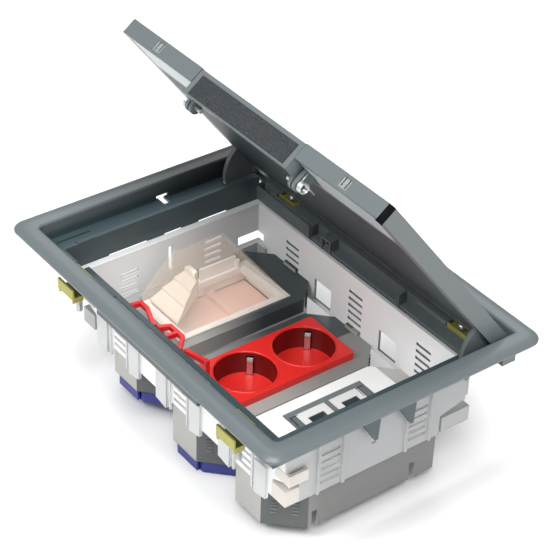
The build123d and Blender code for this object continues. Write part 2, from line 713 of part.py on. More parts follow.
def flap_cheek():
    """One end wall of the flap, from its front wall to the pivot."""
    x = (FLAP_HALF - FLAP_CHEEK_T, FLAP_HALF)
    front = lid_y(FIT_GAP + FOAM_T)
    low = lid_z(FLAP_DEPTH)
    web = [(front, low), (front, lid_z(FLAP_TOP + 1)), (FLAP_Y, FLAP_Z + FLAP_ROLL_R - 1),
           (FLAP_Y + FLAP_HUB_R, FLAP_Z + 1), (FLAP_Y, FLAP_Z - FLAP_HUB_R + 1),
           (FLAP_Y - 2, FLAP_Z - FLAP_HUB_R + 1), (LEDGE_IN_FRONT + 2 * RUN_GAP, low)]
    return rod_x(*x, FLAP_Y, FLAP_Z, FLAP_HUB_R) + side_prism(web, *x)


def foam_pad():
    """The foam strip on the flap's face that closes round the cords."""
    return span((-FOAM_HALF, FOAM_HALF), (lid_y(FIT_GAP), lid_y(FIT_GAP + FOAM_T)),
                (lid_z(FLAP_DEPTH - 1), lid_z(FLAP_TOP + FLAP_RIM)))


def flap_pins():
    """The outlet's two pivot pins, held in the ears under the lid."""
    return both(rod_x(FOAM_HALF - FLAP_HUB_R + 1, LUG_X + LUG_T + FIT_GAP, FLAP_Y, FLAP_Z, FLAP_PIN_R))


def flap_springs():
    """Two torsion springs beside the pivot ears: a coil and a leg each."""
    x0 = LUG_X + LUG_T + 2 * FIT_GAP
    x1 = x0 + SPRING_LONG
    coil = rod_x(x0, x1, FLAP_Y, FLAP_Z, SPRING_R)
    coil -= rod_x(x0 - 1, x1 + 1, FLAP_Y, FLAP_Z, SPRING_R - SPRING_WIRE)
    foot_y = FLAP_Y + 4 * SPRING_R
    leg = [(FLAP_Y + 1, FLAP_Z + SPRING_R - 1), (FLAP_Y + 1, FLAP_Z + SPRING_R - FIT_GAP),
           (foot_y, LID_UNDER - FIT_GAP), (foot_y + 1, LID_UNDER - 1)]
    return both(coil + side_prism(leg, x1 - 1, x1))


def clamp_plates():
    """The yellow washers that the clamp screws pull on."""
    plates = []
    for x, y, floor, way in CLAMPS.values():
        inner = y - way * (CLAMP_PLATE_Y / 2 + CLAMP_LIP_OUT)
        across = (x - CLAMP_PLATE_X / 2, x + CLAMP_PLATE_X / 2)
        plate = span(across, (y + way * CLAMP_PLATE_Y / 2, inner), (floor, floor + CLAMP_PLATE_T))
        plate += span(across, (inner, inner + way * CLAMP_PLATE_T), (floor, floor + CLAMP_LIP))
        plates.append(plate - rod_z(x, y, floor - 1, floor + CLAMP_LIP, SCREW_R + FIT_GAP))
    return plates


def clamp_screw(place):
    """A clamp screw with a slotted head, hung through its plate."""
    x, y, floor, _ = CLAMPS[place]
    seat = floor + CLAMP_PLATE_T
    top = seat + SCREW_HEAD_H
    head = rod_z(x, y, seat, top, SCREW_HEAD_R)
    head -= span((x - SCREW_HEAD_R - 1, x + SCREW_HEAD_R + 1), (y - SCREW_SLOT / 2, y + SCREW_SLOT / 2),
                 (top - SCREW_SLOT, top + 1))
    return head + rod_z(x, y, seat - SCREW_LEN, seat, SCREW_R)


def clamp_claw(place):
    """The claw on a clamp screw: a plate with a nut below and a tall edge that grips the floor."""
    x, y, floor, way = CLAMPS[place]
    top = floor - LEDGE_T - CLAW_CLEAR
    shell = SHELL_FRONT if way < 0 else SHELL_BACK
    tip = shell + way * CLAW_REACH
    root = y - way * CLAW_ROOT
    across = (x - CLAW_W / 2, x + CLAW_W / 2)
    body = span(across, (root, tip), (top - CLAW_T, top))
    body += span(across, (tip - way * CLAW_T, tip), (top - CLAW_T, CLAW_GRIP))
    nut = extrude(RegularPolygon(CLAW_ROOT, 6, major_radius=False), CLAW_NUT)
    body += Pos(x, y, top - CLAW_T - CLAW_NUT) * nut
    cheek = [(y, top - CLAW_T), (tip, top - CLAW_T), (y, top - CLAW_T - CLAW_NUT)]
    for edge in (x - CLAW_W / 2, x + CLAW_W / 2 - CLAW_T / 2):
        body += side_prism(cheek, edge, edge + CLAW_T / 2)
    return body - rod_z(x, y, top - 2 * CLAW_NUT, top + 1, SCREW_R + HINGE_CLEAR)


def slot_levels(count, first):
    """Heights of the middles of a ladder's slots."""
    return [first - i * SLOT_PITCH for i in range(count)]


def end_slots(y0, y1):
    """The ladders that the trays hang in, cut through an end wall."""
    cuts = []
    for z in slot_levels(SLOTS, BOX_TOP - END_LADDER_DROP):
        for x in TRAY_XS:
            cuts.append(span((x - SLOT_W / 2, x + SLOT_W / 2), (y0 - 9, y1 + 9),
                             (z - SLOT_H / 2, z + SLOT_H / 2)))
    return cuts


def corner_cut_end(depth, y0, y1):
    """The slanted window at both lower corners of an end wall."""
    outline = [(BOX_HALF + 1, BOX_BOTTOM - TAB_LOW - 1), (BOX_HALF - depth, BOX_BOTTOM - TAB_LOW - 1),
               (BOX_HALF - depth, BOX_TOP - CORNER_TOP - CORNER_SLOPE), (BOX_HALF + 1, BOX_TOP - CORNER_TOP)]
    return both(front_prism(outline, y0 - 9, y1 + 9))


def corner_cut_side(edge, inward, depth):
    """The slanted window at one lower corner of a side wall."""
    top = BOX_TOP - CORNER_TOP
    return side_prism([(edge - inward, BOX_BOTTOM - 1), (edge + inward * depth, BOX_BOTTOM - 1),
                       (edge + inward * depth, top - CORNER_SLOPE), (edge - inward, top)],
                      BOX_HALF - 9, BOX_HALF + 9)


def carrier_front():
    """The front wall of the carrier: rim, ladders, ribs and tapered guide tabs."""
    y = (BOX_FRONT, BOX_FRONT + BOX_WALL)
    wall = span((-BOX_HALF, BOX_HALF), y, (BOX_BOTTOM, BOX_TOP))
    wall += span((-RIM_X, RIM_X), (LEDGE_IN_FRONT + BOX_HANG, y[1]), (BOX_TOP - BOX_RIM_T, BOX_TOP))
    low, tab_top = BOX_BOTTOM - TAB_LOW, BOX_BOTTOM - TAB_LOW + TAB_TOP
    for x in TRAY_XS:
        for way in (-1, 1):
            rib = x + way * (SLOT_W / 2 + RIB_T)
            wall += span((rib, rib + way * RIB_T), (y[0] - RIB_T, y[0]), (low, BOX_TOP - 2 * BOX_RIM_T))
            near = rib + way * (RIB_T + TAB_IN)
            far = near + way * TAB_W
            outline = [(near, low - 1), (far, low + 1), (far, tab_top), (near, tab_top)]
            wall += front_prism(outline, y[0] - RIB_OUT, y[0])
    for cut in end_slots(*y):
        wall -= cut
    return wall - corner_cut_end(CORNER_FRONT[0], *y)


def carrier_back():
    """The back wall of the carrier with its ladders and two cable windows."""
    y = (BOX_BACK - BOX_WALL, BOX_BACK)
    wall = span((-BOX_HALF, BOX_HALF), y, (BOX_BOTTOM, BOX_TOP))
    wall += span((-RIM_X, RIM_X), (y[0], BACK_LIP_IN - BOX_HANG), (BOX_TOP - BOX_RIM_T, BOX_TOP))
    for cut in end_slots(*y):
        wall -= cut
    window = (BOX_BOTTOM + 3, BOX_BOTTOM + 3 + WINDOW_H)
    wall -= both(span((WINDOW_X - WINDOW_W / 2, WINDOW_X + WINDOW_W / 2), (y[0] - 1, y[1] + 1), window))
    return wall - corner_cut_end(CORNER_BACK[0], *y)


def carrier_side(side):
    """One long-side wall of the carrier with its two ladders and their ribs."""
    x = (BOX_HALF - BOX_WALL, BOX_HALF)
    y = (BOX_FRONT + BOX_WALL, BOX_BACK - BOX_WALL)
    wall = span(x, y, (BOX_BOTTOM, BOX_TOP)) + span((x[0], RIM_X), y, (BOX_TOP - BOX_RIM_T, BOX_TOP))
    for middle in SIDE_LADDER_Y:
        for way in (-1, 1):
            rib = middle + way * (SLOT_W / 2 + RIB_T)
            wall += span((x[1], x[1] + RIB_T), (rib, rib + way * RIB_T),
                         (BOX_BOTTOM, BOX_TOP - 2 * BOX_RIM_T))
        for z in slot_levels(SIDE_SLOTS, BOX_TOP - SIDE_LADDER_DROP):
            wall -= span((x[0] - 1, x[1] + 1), (middle - SLOT_W / 2, middle + SLOT_W / 2),
                         (z - SLOT_H / 2, z + SLOT_H / 2))
    wall -= corner_cut_side(BOX_FRONT, 1, CORNER_FRONT[1]) + corner_cut_side(BOX_BACK, -1, CORNER_BACK[1])
    wall -= span((x[0] - 1, x[1] + 1), (-RIB_T, RIB_T), (BOX_TOP - WINDOW_H - 9, BOX_TOP - 7))
    return wall if side > 0 else mirror(wall, Plane.YZ)


def corner_block(edge, inward, size):
    """One corner piece: an angle in the window and tongues behind both walls."""
    top = BOX_TOP - BLOCK_TOP
    z = (top - BLOCK_H, top)
    out, inside = edge - inward * BLOCK_PROUD, edge + inward * BOX_WALL
    x_out, x_in = BOX_HALF + BLOCK_PROUD, BOX_HALF - BOX_WALL
    run_x, run_y = BOX_HALF - size[0] + FIT_GAP, edge + inward * (size[1] - FIT_GAP)
    body = span((run_x, x_out), (out, inside), z) + span((x_in, x_out), (out, run_y), z)
    body += span((run_x - BLOCK_T, x_in), (inside, inside + inward * BLOCK_T), z)
    return body + span((x_in - BLOCK_T, x_in), (inside, run_y + inward * BLOCK_T), z)


def corner_blocks():
    """The four plastic corner pieces that lock the carrier's walls together."""
    front = corner_block(BOX_FRONT, 1, CORNER_FRONT)
    return both(front + corner_block(BOX_BACK, -1, CORNER_BACK))


def tray_outline(x, inset):
    """The plan of a tray: a rectangle with cut corners, drawn in by an inset."""
    half = TRAY_X / 2 - inset
    front, back = TRAY_FRONT + inset, TRAY_BACK - inset
    lost = inset * (2 - 2 ** 0.5)
    cut_f, cut_b = TRAY_CUT_FRONT - lost, TRAY_CUT_BACK - lost
    return [(x - half + cut_f, front), (x + half - cut_f, front), (x + half, front + cut_f),
            (x + half, back - cut_b), (x + half - cut_b, back), (x - half + cut_b, back),
            (x - half, back - cut_b), (x - half, front + cut_f)]


def tray(index):
    """One drop-in tray: a top plate with an opening and walls that reach down."""
    x, top = TRAY_XS[index], TRAY_TOPS[index]
    bottom = top - TRAY_DEPTH
    body = plan_prism(tray_outline(x, 0), bottom, top)
    body -= plan_prism(tray_outline(x, TRAY_WALL), bottom - 1, top - TRAY_WALL)
    hole_x, hole_y = tray_hole(index)
    body -= span((x - hole_x, x + hole_x), hole_y, (top - 2 * TRAY_WALL, top + 1))
    for y in TRAY_SLOT_Y:
        body -= span((x - TRAY_X, x + TRAY_X), (y - TRAY_SLOT_W / 2, y + TRAY_SLOT_W / 2),
                     (bottom - 1, bottom + TRAY_SLOT_H))
    return body + tray_tongues(x, top) + strain_ribs(x, bottom, top)


def tray_hole(index):
    """Half width and y range of the opening in a tray's top plate."""
    half = MODULE / 2 - 1
    y0, y1 = MODULE_ENDS
    if index == 0:
        return half + LID_RIM, (y0 + 2, y1 - 2)
    return half, (y0 + 1, y1 - 1)


def tray_tongues(x, top):
    """Tongues that hang a tray in the ladders of the front and back walls."""
    levels = slot_levels(SLOTS, BOX_TOP - END_LADDER_DROP)
    z = min(levels, key=lambda level: abs(level - top))
    tongue = (z - SLOT_H / 2 + SLOT_CLEAR, z + SLOT_H / 2 - SLOT_CLEAR)
    across = (x - SLOT_W / 2 + SLOT_CLEAR, x + SLOT_W / 2 - SLOT_CLEAR)
    rise = (top - 2 * TRAY_WALL, max(top, tongue[1]))
    body = span(across, (TRAY_BACK - TRAY_WALL, BOX_BACK), tongue)
    body += span(across, (BOX_FRONT, TRAY_FRONT + TRAY_WALL), tongue)
    body += span(across, (TRAY_BACK - TRAY_WALL, TRAY_BACK), rise)
    return body + span(across, (TRAY_FRONT, TRAY_FRONT + TRAY_WALL), rise)


def strain_ribs(x, bottom, top):
    """Toothed strips on a tray's cut corners that a cable tie grips."""
    teeth = []
    half = TRAY_X / 2
    front = (x + half - TRAY_CUT_FRONT / 2, TRAY_FRONT + TRAY_CUT_FRONT / 2)
    back = (x + half - TRAY_CUT_BACK / 2, TRAY_BACK - TRAY_CUT_BACK / 2)
    tooth = Box(TOOTH_W, 2 * TOOTH_OUT, TOOTH_H)
    for step in range(TEETH):
        z = bottom + TRAY_SLOT_H - TOOTH_PITCH + step * TOOTH_PITCH
        for along in (-TOOTH_PLACE, TOOTH_PLACE):
            shift = along * sin(radians(45))
            teeth.append(Pos(front[0] + shift, front[1] + shift, z) * Rot(0, 0, 45) * tooth)
        z = top - TOOTH_H - step * TOOTH_PITCH
        teeth.append(Pos(back[0], back[1], z) * Rot(0, 0, -45) * tooth)
    return joined(teeth)


def socket_ys():
    """Y of the middles of the two wells."""
    return (MODULE_Y - MODULE / 2, MODULE_Y + MODULE / 2)


def in_well(y, shape):
    """Put a piece drawn with the pins along X into a well, turned as the sockets are."""
    return Pos(0, y, 0) * Rot(0, 0, WELL_TURN) * shape


def socket_plate():
    """The twin socket's cover: a raised plate with two round wells."""
    half, edge = MODULE / 2, MODULE / 2 - SOCKET_EDGE
    y0, y1 = MODULE_ENDS
    body = round_rect((-half, half), (y0, y1), SOCKET_EDGE, TRAY_TOP, SOCKET_PROUD)
    body -= span((-edge, edge), (y0 + SOCKET_EDGE, y1 - SOCKET_EDGE), (TRAY_TOP - 1, PLATE_TOP - SOCKET_SKIN))
    for y in socket_ys():
        body += rod_z(0, y, WELL_FLOOR, PLATE_TOP, SOCKET_R + SOCKET_WALL)
    for y in socket_ys():
        body -= in_well(y, well_hollow())
    return body


def well_hollow():
    """What is cut from a well: the round hollow, pin holes, clip slots and guide notches."""
    hollow = rod_z(0, 0, WELL_FLOOR + SOCKET_WALL, PLATE_TOP + 1, SOCKET_R)
    for way in (-1, 1):
        hollow += rod_z(way * PIN_PITCH / 2, 0, WELL_FLOOR - 1, WELL_FLOOR + 2 * SOCKET_WALL, PIN_HOLE_R)
        clip_y = (way * (SOCKET_R - CLIP_IN - FIT_GAP), way * (SOCKET_R + SOCKET_WALL + 1))
        half = CLIP_W / 2 + FIT_GAP
        hollow += span((-half, half), clip_y, (WELL_FLOOR - 1, PLATE_TOP - SOCKET_SKIN - 1))
        guide_x = (way * (SOCKET_R - 1), way * (SOCKET_R + GUIDE_IN))
        hollow += span(guide_x, (-GUIDE_W / 2, GUIDE_W / 2), (WELL_FLOOR + SOCKET_WALL, PLATE_TOP + 1))
    return hollow


def earth_clips():
    """Four sprung earth contacts, two in each well."""
    clips = []
    face, low = SOCKET_R - CLIP_IN, WELL_FLOOR - LID_RIM
    high = PLATE_TOP - 2 * SOCKET_SKIN
    for y in socket_ys():
        for way in (-1, 1):
            outline = [(face, low), (face + CLIP_T, low), (face + CLIP_T, high - 2),
                       (face + 2 * CLIP_T, high - FIT_GAP), (face + CLIP_T, high), (face, high - 2)]
            clip = side_prism([(way * a, b) for a, b in outline], -CLIP_W / 2, CLIP_W / 2)
            clips.append(in_well(y, clip))
    return clips


def socket_shutters():
    """The shutter plate just under each well's floor, which closes the two pin holes."""
    low = WELL_FLOOR - 0.1 - SHUTTER_T
    plate = span((-SHUTTER_X / 2, SHUTTER_X / 2), (-SHUTTER_Y / 2, SHUTTER_Y / 2), (low, low + SHUTTER_T))
    return [in_well(y, plate) for y in socket_ys()]


def socket_base():
    """The insulating body under the wells with a pocket for each contact and shutter."""
    top = WELL_FLOOR - 0.1
    low = top - BASE_H
    half = MODULE / 2 - SOCKET_WALL
    body = span((-half, half), (MODULE_ENDS[0] + SOCKET_WALL, MODULE_ENDS[1] - SOCKET_WALL), (low, top))
    for y in socket_ys():
        body -= in_well(y, base_hollow(low, top))
    return body


def base_hollow(low, top):
    """The pockets in the insulating body below one well."""
    x, y = SHUTTER_X / 2 + FIT_GAP, SHUTTER_Y / 2 + FIT_GAP
    hollow = span((-x, x), (-y, y), (top - SHUTTER_T - 0.1, top + 1))
    for way in (-1, 1):
        pin = way * PIN_PITCH / 2
        room = CONTACT_R + CONTACT_T + FIT_GAP
        hollow += span((pin - room, pin + room), (-CONTACT_W / 2 - FIT_GAP, CONTACT_W / 2 + FIT_GAP),
                       (top - SHUTTER_T - CONTACT_H - 1, top))
        clip_y = (way * (SOCKET_R - CLIP_IN - FIT_GAP), way * (SOCKET_R + 1))
        half = CLIP_W / 2 + FIT_GAP
        hollow += span((-half, half), clip_y, (top - LID_RIM - FIT_GAP, top + 1))
    return hollow


def contact_sleeves():
    """Four line contacts: a folded strip whose two leaves take a pin of a plug."""
    contacts = []
    top = WELL_FLOOR - SHUTTER_T - FIT_GAP
    low = top - CONTACT_H
    out, inside = CONTACT_R + CONTACT_T, CONTACT_R
    for y in socket_ys():
        for way in (-1, 1):
            pin = way * PIN_PITCH / 2
            strip = [(pin - out, low), (pin + out, low), (pin + out, top), (pin + inside, top),
                     (pin + inside, low + CONTACT_T), (pin - inside, low + CONTACT_T),
                     (pin - inside, top), (pin - out, top)]
            contacts.append(in_well(y, front_prism(strip, -CONTACT_W / 2, CONTACT_W / 2)))
    return contacts


def wiring_base(index):
    """The blue wiring cup that closes the bottom of a tray."""
    x = TRAY_XS[index]
    bottom = TRAY_TOPS[index] - TRAY_DEPTH
    fit = TRAY_WALL + FIT_GAP
    cup = plan_prism(tray_outline(x, fit), bottom - CUP_DROP, bottom + CUP_LAP)
    cup -= plan_prism(tray_outline(x, fit + CUP_WALL), bottom - CUP_DROP + CUP_WALL, bottom + CUP_LAP + 1)
    for way in (-1, 1):
        edge = x + way * (TRAY_X / 2 - TRAY_CUT_FRONT)
        cup -= span((edge - CUP_NOTCH / 2, edge + CUP_NOTCH / 2), (TRAY_FRONT - 1, TRAY_FRONT + CUP_NOTCH),
                    (bottom - CUP_DROP - 1, bottom + CUP_LAP + 1))
    return cup


def data_cover():
    """The white cover plate of the data tray with its window."""
    x, top = TRAY_PITCH, TRAY_TOP + COVER_T
    ends = (COVER_MID - COVER_Y / 2, COVER_MID + COVER_Y / 2)
    plate = round_rect((x - COVER_X / 2, x + COVER_X / 2), ends, COVER_CORNER_R, TRAY_TOP, COVER_T)
    half_x, half_y = MODULE / 2 + FIT_GAP, INSERT_Y / 2 + FIT_GAP
    return plate - span((x - half_x, x + half_x), (INSERT_MID - half_y, INSERT_MID + half_y),
                        (TRAY_TOP - 1, top + 1))


def jack_ys():
    """Y of the middles of the two data jacks."""
    return [INSERT_MID + way * (JACK_W / 2 + JACK_GAP) for way in (-1, 1)]


def label_ys():
    """Y of the middles of the two label strips."""
    return [INSERT_MID + way * (INSERT_Y / 2 - LABEL_W * 0.73) for way in (-1, 1)]


def data_insert():
    """The gray insert that carries the jacks and the label holders."""
    x, top = TRAY_PITCH, TRAY_TOP + COVER_T + INSERT_PROUD
    inner = MODULE / 2 - SOCKET_WALL
    half_y = INSERT_Y / 2
    body = span((x - MODULE / 2, x + MODULE / 2), (INSERT_MID - half_y, INSERT_MID + half_y),
                (TRAY_TOP + 0.1, top))
    body += span((x - inner, x + inner), (INSERT_MID - half_y + 1, INSERT_MID + half_y - 1),
                 (TRAY_TOP - INSERT_T, TRAY_TOP + 0.1))
    for y in jack_ys():
        body -= span(jack_x(FIT_GAP), (y - JACK_W / 2, y + JACK_W / 2), (TRAY_TOP - 2 * INSERT_T, top + 1))
    for y in label_ys():
        body -= span(label_x(FIT_GAP), (y - LABEL_W / 2, y + LABEL_W / 2), (top - 0.9, top + 1))
    return body


def jack_x(extra):
    """X range of a data jack's face, with extra room at both ends."""
    middle = TRAY_PITCH - LID_RIM
    return (middle - JACK_L / 2 - extra, middle + JACK_L / 2 + extra)


def label_x(extra):
    """X range of a label strip, with extra room at both ends."""
    middle = TRAY_PITCH - LID_RIM - 1
    return (middle - LABEL_L / 2 - extra, middle + LABEL_L / 2 + extra)


def rj45_jacks():
    """Two data jacks with stepped ports and their housings below."""
    jacks = []
    low, top = TRAY_TOP - 2.6, TRAY_TOP + COVER_T + 2 * INSERT_PROUD
    x0 = TRAY_PITCH - JACK_L / 2 + LID_RIM
    for y in jack_ys():
        half = JACK_W / 2 - FIT_GAP
        body = span(jack_x(0), (y - half, y + half), (low, top))
        body += span((x0 - LID_RIM, x0 + JACK_W), (y - 0.7 * JACK_GAP * 5.2, y + 0.7 * JACK_GAP * 5.2),
                     (TRAY_TOP - JACK_DEEP, low))
        deep = (TRAY_TOP - 0.7 * JACK_DEEP, top + 1)
        for step, wide in enumerate((PORT_W, PORT_KEY_W, PORT_CLIP_W)):
            start = x0 if step == 0 else x0 + PORT_L + (step - 1) * PORT_STEP - 0.1
            end = x0 + PORT_L + step * PORT_STEP
            body -= span((start, end), (y - wide / 2, y + wide / 2), deep)
        jacks.append(body)
    return jacks


def label_holders():
    """Two dark label strips beside the jacks."""
    top = TRAY_TOP + COVER_T + INSERT_PROUD
    half = LABEL_W / 2 - FIT_GAP
    return [span(label_x(0), (y - half, y + half), (top - 0.9, top + INSERT_PROUD)) for y in label_ys()]


def hood_section(x, low_y, ridge_y, z):
    """The hood's outline at one x: a foot line and a ridge line."""
    points = [(low_y[0], z[0]), (ridge_y[0], z[1]), (ridge_y[1], z[2]), (low_y[1], z[0])]
    return make_face(Polyline(*[(x, a, b) for a, b in points], close=True))


def hood_solid(inset, below=0.0):
    """What the hood encloses: a lean-to, hipped at both ends, drawn in by an inset."""
    x, top = TRAY_XS[0], TRAY_TOP_LEFT
    low = top - below
    high = [top + rise - inset for rise in HOOD_RIDGE]
    edge = top + HOOD_LOW - inset
    drawn = [(y[0] + inset, y[1] - inset) for y in (HOOD_FOOT_Y, HOOD_RIDGE_Y, HOOD_LOW_Y)]
    foot, ridge, right = drawn
    tall = hood_section(x + HOOD_X[0] + inset, foot, ridge, (low, *high))
    flat = hood_section(x + HOOD_X[1] - inset, right, (right[0] + 0.5, right[1] - 0.5), (low, edge, edge))
    return loft([tall, flat], ruled=True)


def clear_hood():
    """The tinted clear hood over the wiring tray, high at its outer side."""
    return hood_solid(0.0) - hood_solid(HOOD_T, 1.0)


def terminal_frame():
    """The cream frame under the hood, with an open middle and a raised side wall and knob."""
    x, top = TRAY_XS[0], TRAY_TOP_LEFT
    half, end, side = MODULE / 2 + TERMINAL_SIDE, TERMINAL_END, TERMINAL_SIDE
    y0, y1 = MODULE_ENDS[0] + end, MODULE_ENDS[1] - end
    seat = top - RUN_GAP
    body = span((x - half, x + half), (y0, y1), (top - TERMINAL_H, seat))
    inner = half - TERMINAL_RIM
    body -= span((x - inner, x + inner), (y0 + 1.5 * TERMINAL_RIM, y1 - 1.5 * TERMINAL_RIM),
                 (top - TERMINAL_H - 1, top + 1))
    body -= span((x - half + side, x + half - side), (y0 + side, y1 - side),
                 (top - TERMINAL_H - 1, top - TERMINAL_RIM))
    wall_x = x - half + 1
    body += span((wall_x, wall_x + TERMINAL_WALL_T), TERMINAL_WALL_Y, (seat - 1, seat + TERMINAL_WALL_H))
    return body + rod_z(x - inner - KNOB_R, y1 - 6 * KNOB_R, seat - 1, seat + KNOB_H, KNOB_R)


def cable_ramp():
    """The stepped cream bracket with its knob, under the hood."""
    x0, z0 = TRAY_XS[0] - RAMP_W - 0.5, TRAY_TOP_LEFT - 0.1
    y0 = MODULE_ENDS[0] + 8
    steps = [(0, 0), (1, 0), (1, 0.84), (0.91, 1), (0.8, 1), (0.75, 0.74), (0.59, 0.63), (0.55, 0.42),
             (0.34, 0.32), (0.3, 0.16), (0, 0.08)]
    outline = [(y0 + a * RAMP_LONG, z0 + b * RAMP_H) for a, b in steps]
    inside = [(0.14, -0.05), (0.96, -0.05), (0.96, 0.63), (0.77, 0.53), (0.45, 0.21)]
    hollow = [(y0 + a * RAMP_LONG, z0 + b * RAMP_H) for a, b in inside]
    body = side_prism(outline, x0, x0 + RAMP_W)
    body -= side_prism(hollow, x0 + RAMP_T, x0 + RAMP_W - RAMP_T)
    return body & hood_solid(HOOD_SPACE, 1.0)


def service_floor():
    """The salmon blanking floor that closes the wiring tray, with its raised bar."""
    x, top = TRAY_XS[0], TRAY_TOP_LEFT
    half = MODULE / 2 - RUN_GAP
    seat = top - FLOOR_DROP
    body = span((x - half, x + half), (MODULE_ENDS[0] + TERMINAL_RIM, MODULE_ENDS[1] - TERMINAL_RIM),
                (seat - FLOOR_T, seat))
    return body + span((x - half, x + half), (MODULE_Y + 8, MODULE_Y + 8 + FLOOR_BAR_W),
                       (seat, seat + FLOOR_BAR_H))


def strap(points):
    """A flat upright strap that follows a line in plan."""
    wide = offset(Polyline(*points), STRAP_T / 2, side=Side.BOTH)
    return Pos(0, 0, STRAP_Z) * extrude(make_face(wide), STRAP_H)


def strap_foot(point, floor):
    """A post from a tray up to the top of a strap."""
    x, y = point
    half = STRAP_FOOT / 2
    return span((x - half, x + half), (y - half, y + half), (floor, STRAP_Z + STRAP_H))


def cord_retainers():
    """Three red straps at the front of the trays that hold the cords down, each on its feet."""
    left = [(-TRAY_PITCH + a, TRAY_FRONT + b) for a, b in
            ((-12, 7), (-10, 18.5), (-2.5, 18.5), (13.5, 12.5))]
    middle = [(-TRAY_PITCH + a, TRAY_FRONT + b) for a, b in
              ((18, 14.5), (20.5, 20.3), (34, 20.3), (42.5, 12))]
    branch = [(-TRAY_PITCH + a, TRAY_FRONT + b) for a, b in ((27.5, 9), (28.5, 20))]
    right = [(a, TRAY_FRONT + b) for a, b in ((-19, 14.5), (-4, 18.5))]
    first = strap(left) + strap_foot(left[0], TRAY_TOP_LEFT) + strap_foot(left[-1], TRAY_TOP_LEFT)
    second = strap(middle) + strap(branch) + strap_foot(middle[0], TRAY_TOP_LEFT)
    second += strap_foot(middle[-1], TRAY_TOP)
    third = strap(right) + strap_foot(right[0], TRAY_TOP) + strap_foot(right[-1], TRAY_TOP)
    return [first, second, third]


def nodes():
    """Every named node and its solid or solids, in the pose of the photograph."""
    parts = {
        "trim_frame": trim_frame(),
        "hinge_pins": hinge_pins(),
        "clamp_plates": clamp_plates(),
        "carrier_front": carrier_front(),
        "carrier_back": carrier_back(),
        "carrier_left": carrier_side(-1),
        "carrier_right": carrier_side(1),
        "corner_blocks": corner_blocks(),
        "tray_left": tray(0),
        "tray_middle": tray(1),
        "tray_right": tray(2),
        "wiring_base_left": wiring_base(0),
        "wiring_base_middle": wiring_base(1),
        "socket_plate": socket_plate(),
        "socket_base": socket_base(),
        "socket_shutters": socket_shutters(),
        "earth_clips": earth_clips(),
        "contact_sleeves": contact_sleeves(),
        "data_cover": data_cover(),
        "data_insert": data_insert(),
        "rj45_jacks": rj45_jacks(),
        "label_holders": label_holders(),
        "clear_hood": clear_hood(),
        "terminal_frame": terminal_frame(),
        "cable_ramp": cable_ramp(),
        "service_floor": service_floor(),
        "cord_retainers": cord_retainers(),
    }
    parts.update({name: opened(shape) for name, shape in lid_nodes().items()})
    for place in CLAMPS:
        parts["clamp_screw_" + place] = clamp_screw(place)
        parts["clamp_claw_" + place] = clamp_claw(place)
    return parts


def lid_nodes():
    """The nodes that swing with the lid, drawn shut."""
    return {
        "lid_frame": lid_frame(),
        "lid_plate": lid_plate(),
        "lid_insert": lid_insert(),
        "front_bars": front_bars(),
        "hinge_arm_left": hinge_arm(-1),
        "hinge_arm_right": hinge_arm(1),
        "lid_catches": lid_catches(),
        "outlet_flap": outlet_flap(),
        "foam_pad": foam_pad(),
        "flap_pins": flap_pins(),
        "flap_springs": flap_springs(),
    }


def write_parts():
    """Write one STEP file for each node."""
    os.makedirs("parts", exist_ok=True)
    for name, shape in nodes().items():
        if isinstance(shape, list):
            shape = Compound(children=shape)
        export_step(shape, "parts/" + name + ".step")


write_parts()
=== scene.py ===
import math
import bpy
import bmesh
from mathutils import Matrix, Vector


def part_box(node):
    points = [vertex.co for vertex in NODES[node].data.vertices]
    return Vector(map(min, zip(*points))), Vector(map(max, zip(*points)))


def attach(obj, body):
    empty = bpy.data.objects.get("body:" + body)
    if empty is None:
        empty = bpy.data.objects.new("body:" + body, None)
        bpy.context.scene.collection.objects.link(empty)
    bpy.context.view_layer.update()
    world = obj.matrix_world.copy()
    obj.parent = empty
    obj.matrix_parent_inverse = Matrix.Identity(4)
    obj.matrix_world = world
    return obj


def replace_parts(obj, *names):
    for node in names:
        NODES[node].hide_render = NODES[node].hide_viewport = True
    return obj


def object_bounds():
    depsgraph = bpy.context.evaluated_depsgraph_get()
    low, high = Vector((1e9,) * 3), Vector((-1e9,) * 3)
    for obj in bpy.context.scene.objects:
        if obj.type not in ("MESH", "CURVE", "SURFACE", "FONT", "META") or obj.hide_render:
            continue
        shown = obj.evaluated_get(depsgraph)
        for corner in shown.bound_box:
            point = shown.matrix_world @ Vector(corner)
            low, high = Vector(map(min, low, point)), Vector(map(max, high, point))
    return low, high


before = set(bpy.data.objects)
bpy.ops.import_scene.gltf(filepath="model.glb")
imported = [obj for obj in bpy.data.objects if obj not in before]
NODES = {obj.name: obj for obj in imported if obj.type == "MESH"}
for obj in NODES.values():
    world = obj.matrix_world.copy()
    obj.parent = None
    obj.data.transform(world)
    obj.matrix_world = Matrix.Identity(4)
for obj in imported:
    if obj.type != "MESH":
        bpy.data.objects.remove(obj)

# Lengths are in metres. Those in millimetres are in the shapes made by block and sections,
# in the hood's and the crown's tables, and where a note says so.

CAD_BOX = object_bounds()

# The frame, in metres: the lid's pin line and how far the photo shows it open, half the pitch of
# the plug wells, and where the clamp screws under the hinge stand.
HINGE = Vector((0, 0.0773, -0.0064))
LID_OPEN = math.radians(-52.7)
WELL_OFFSET = 0.0225
BACK_SCREW_X, BACK_SCREW_Y = 0.084, 0.0828

# A face whose normal leans this far along an axis counts as facing that way.
SQUARE_ON = 0.7


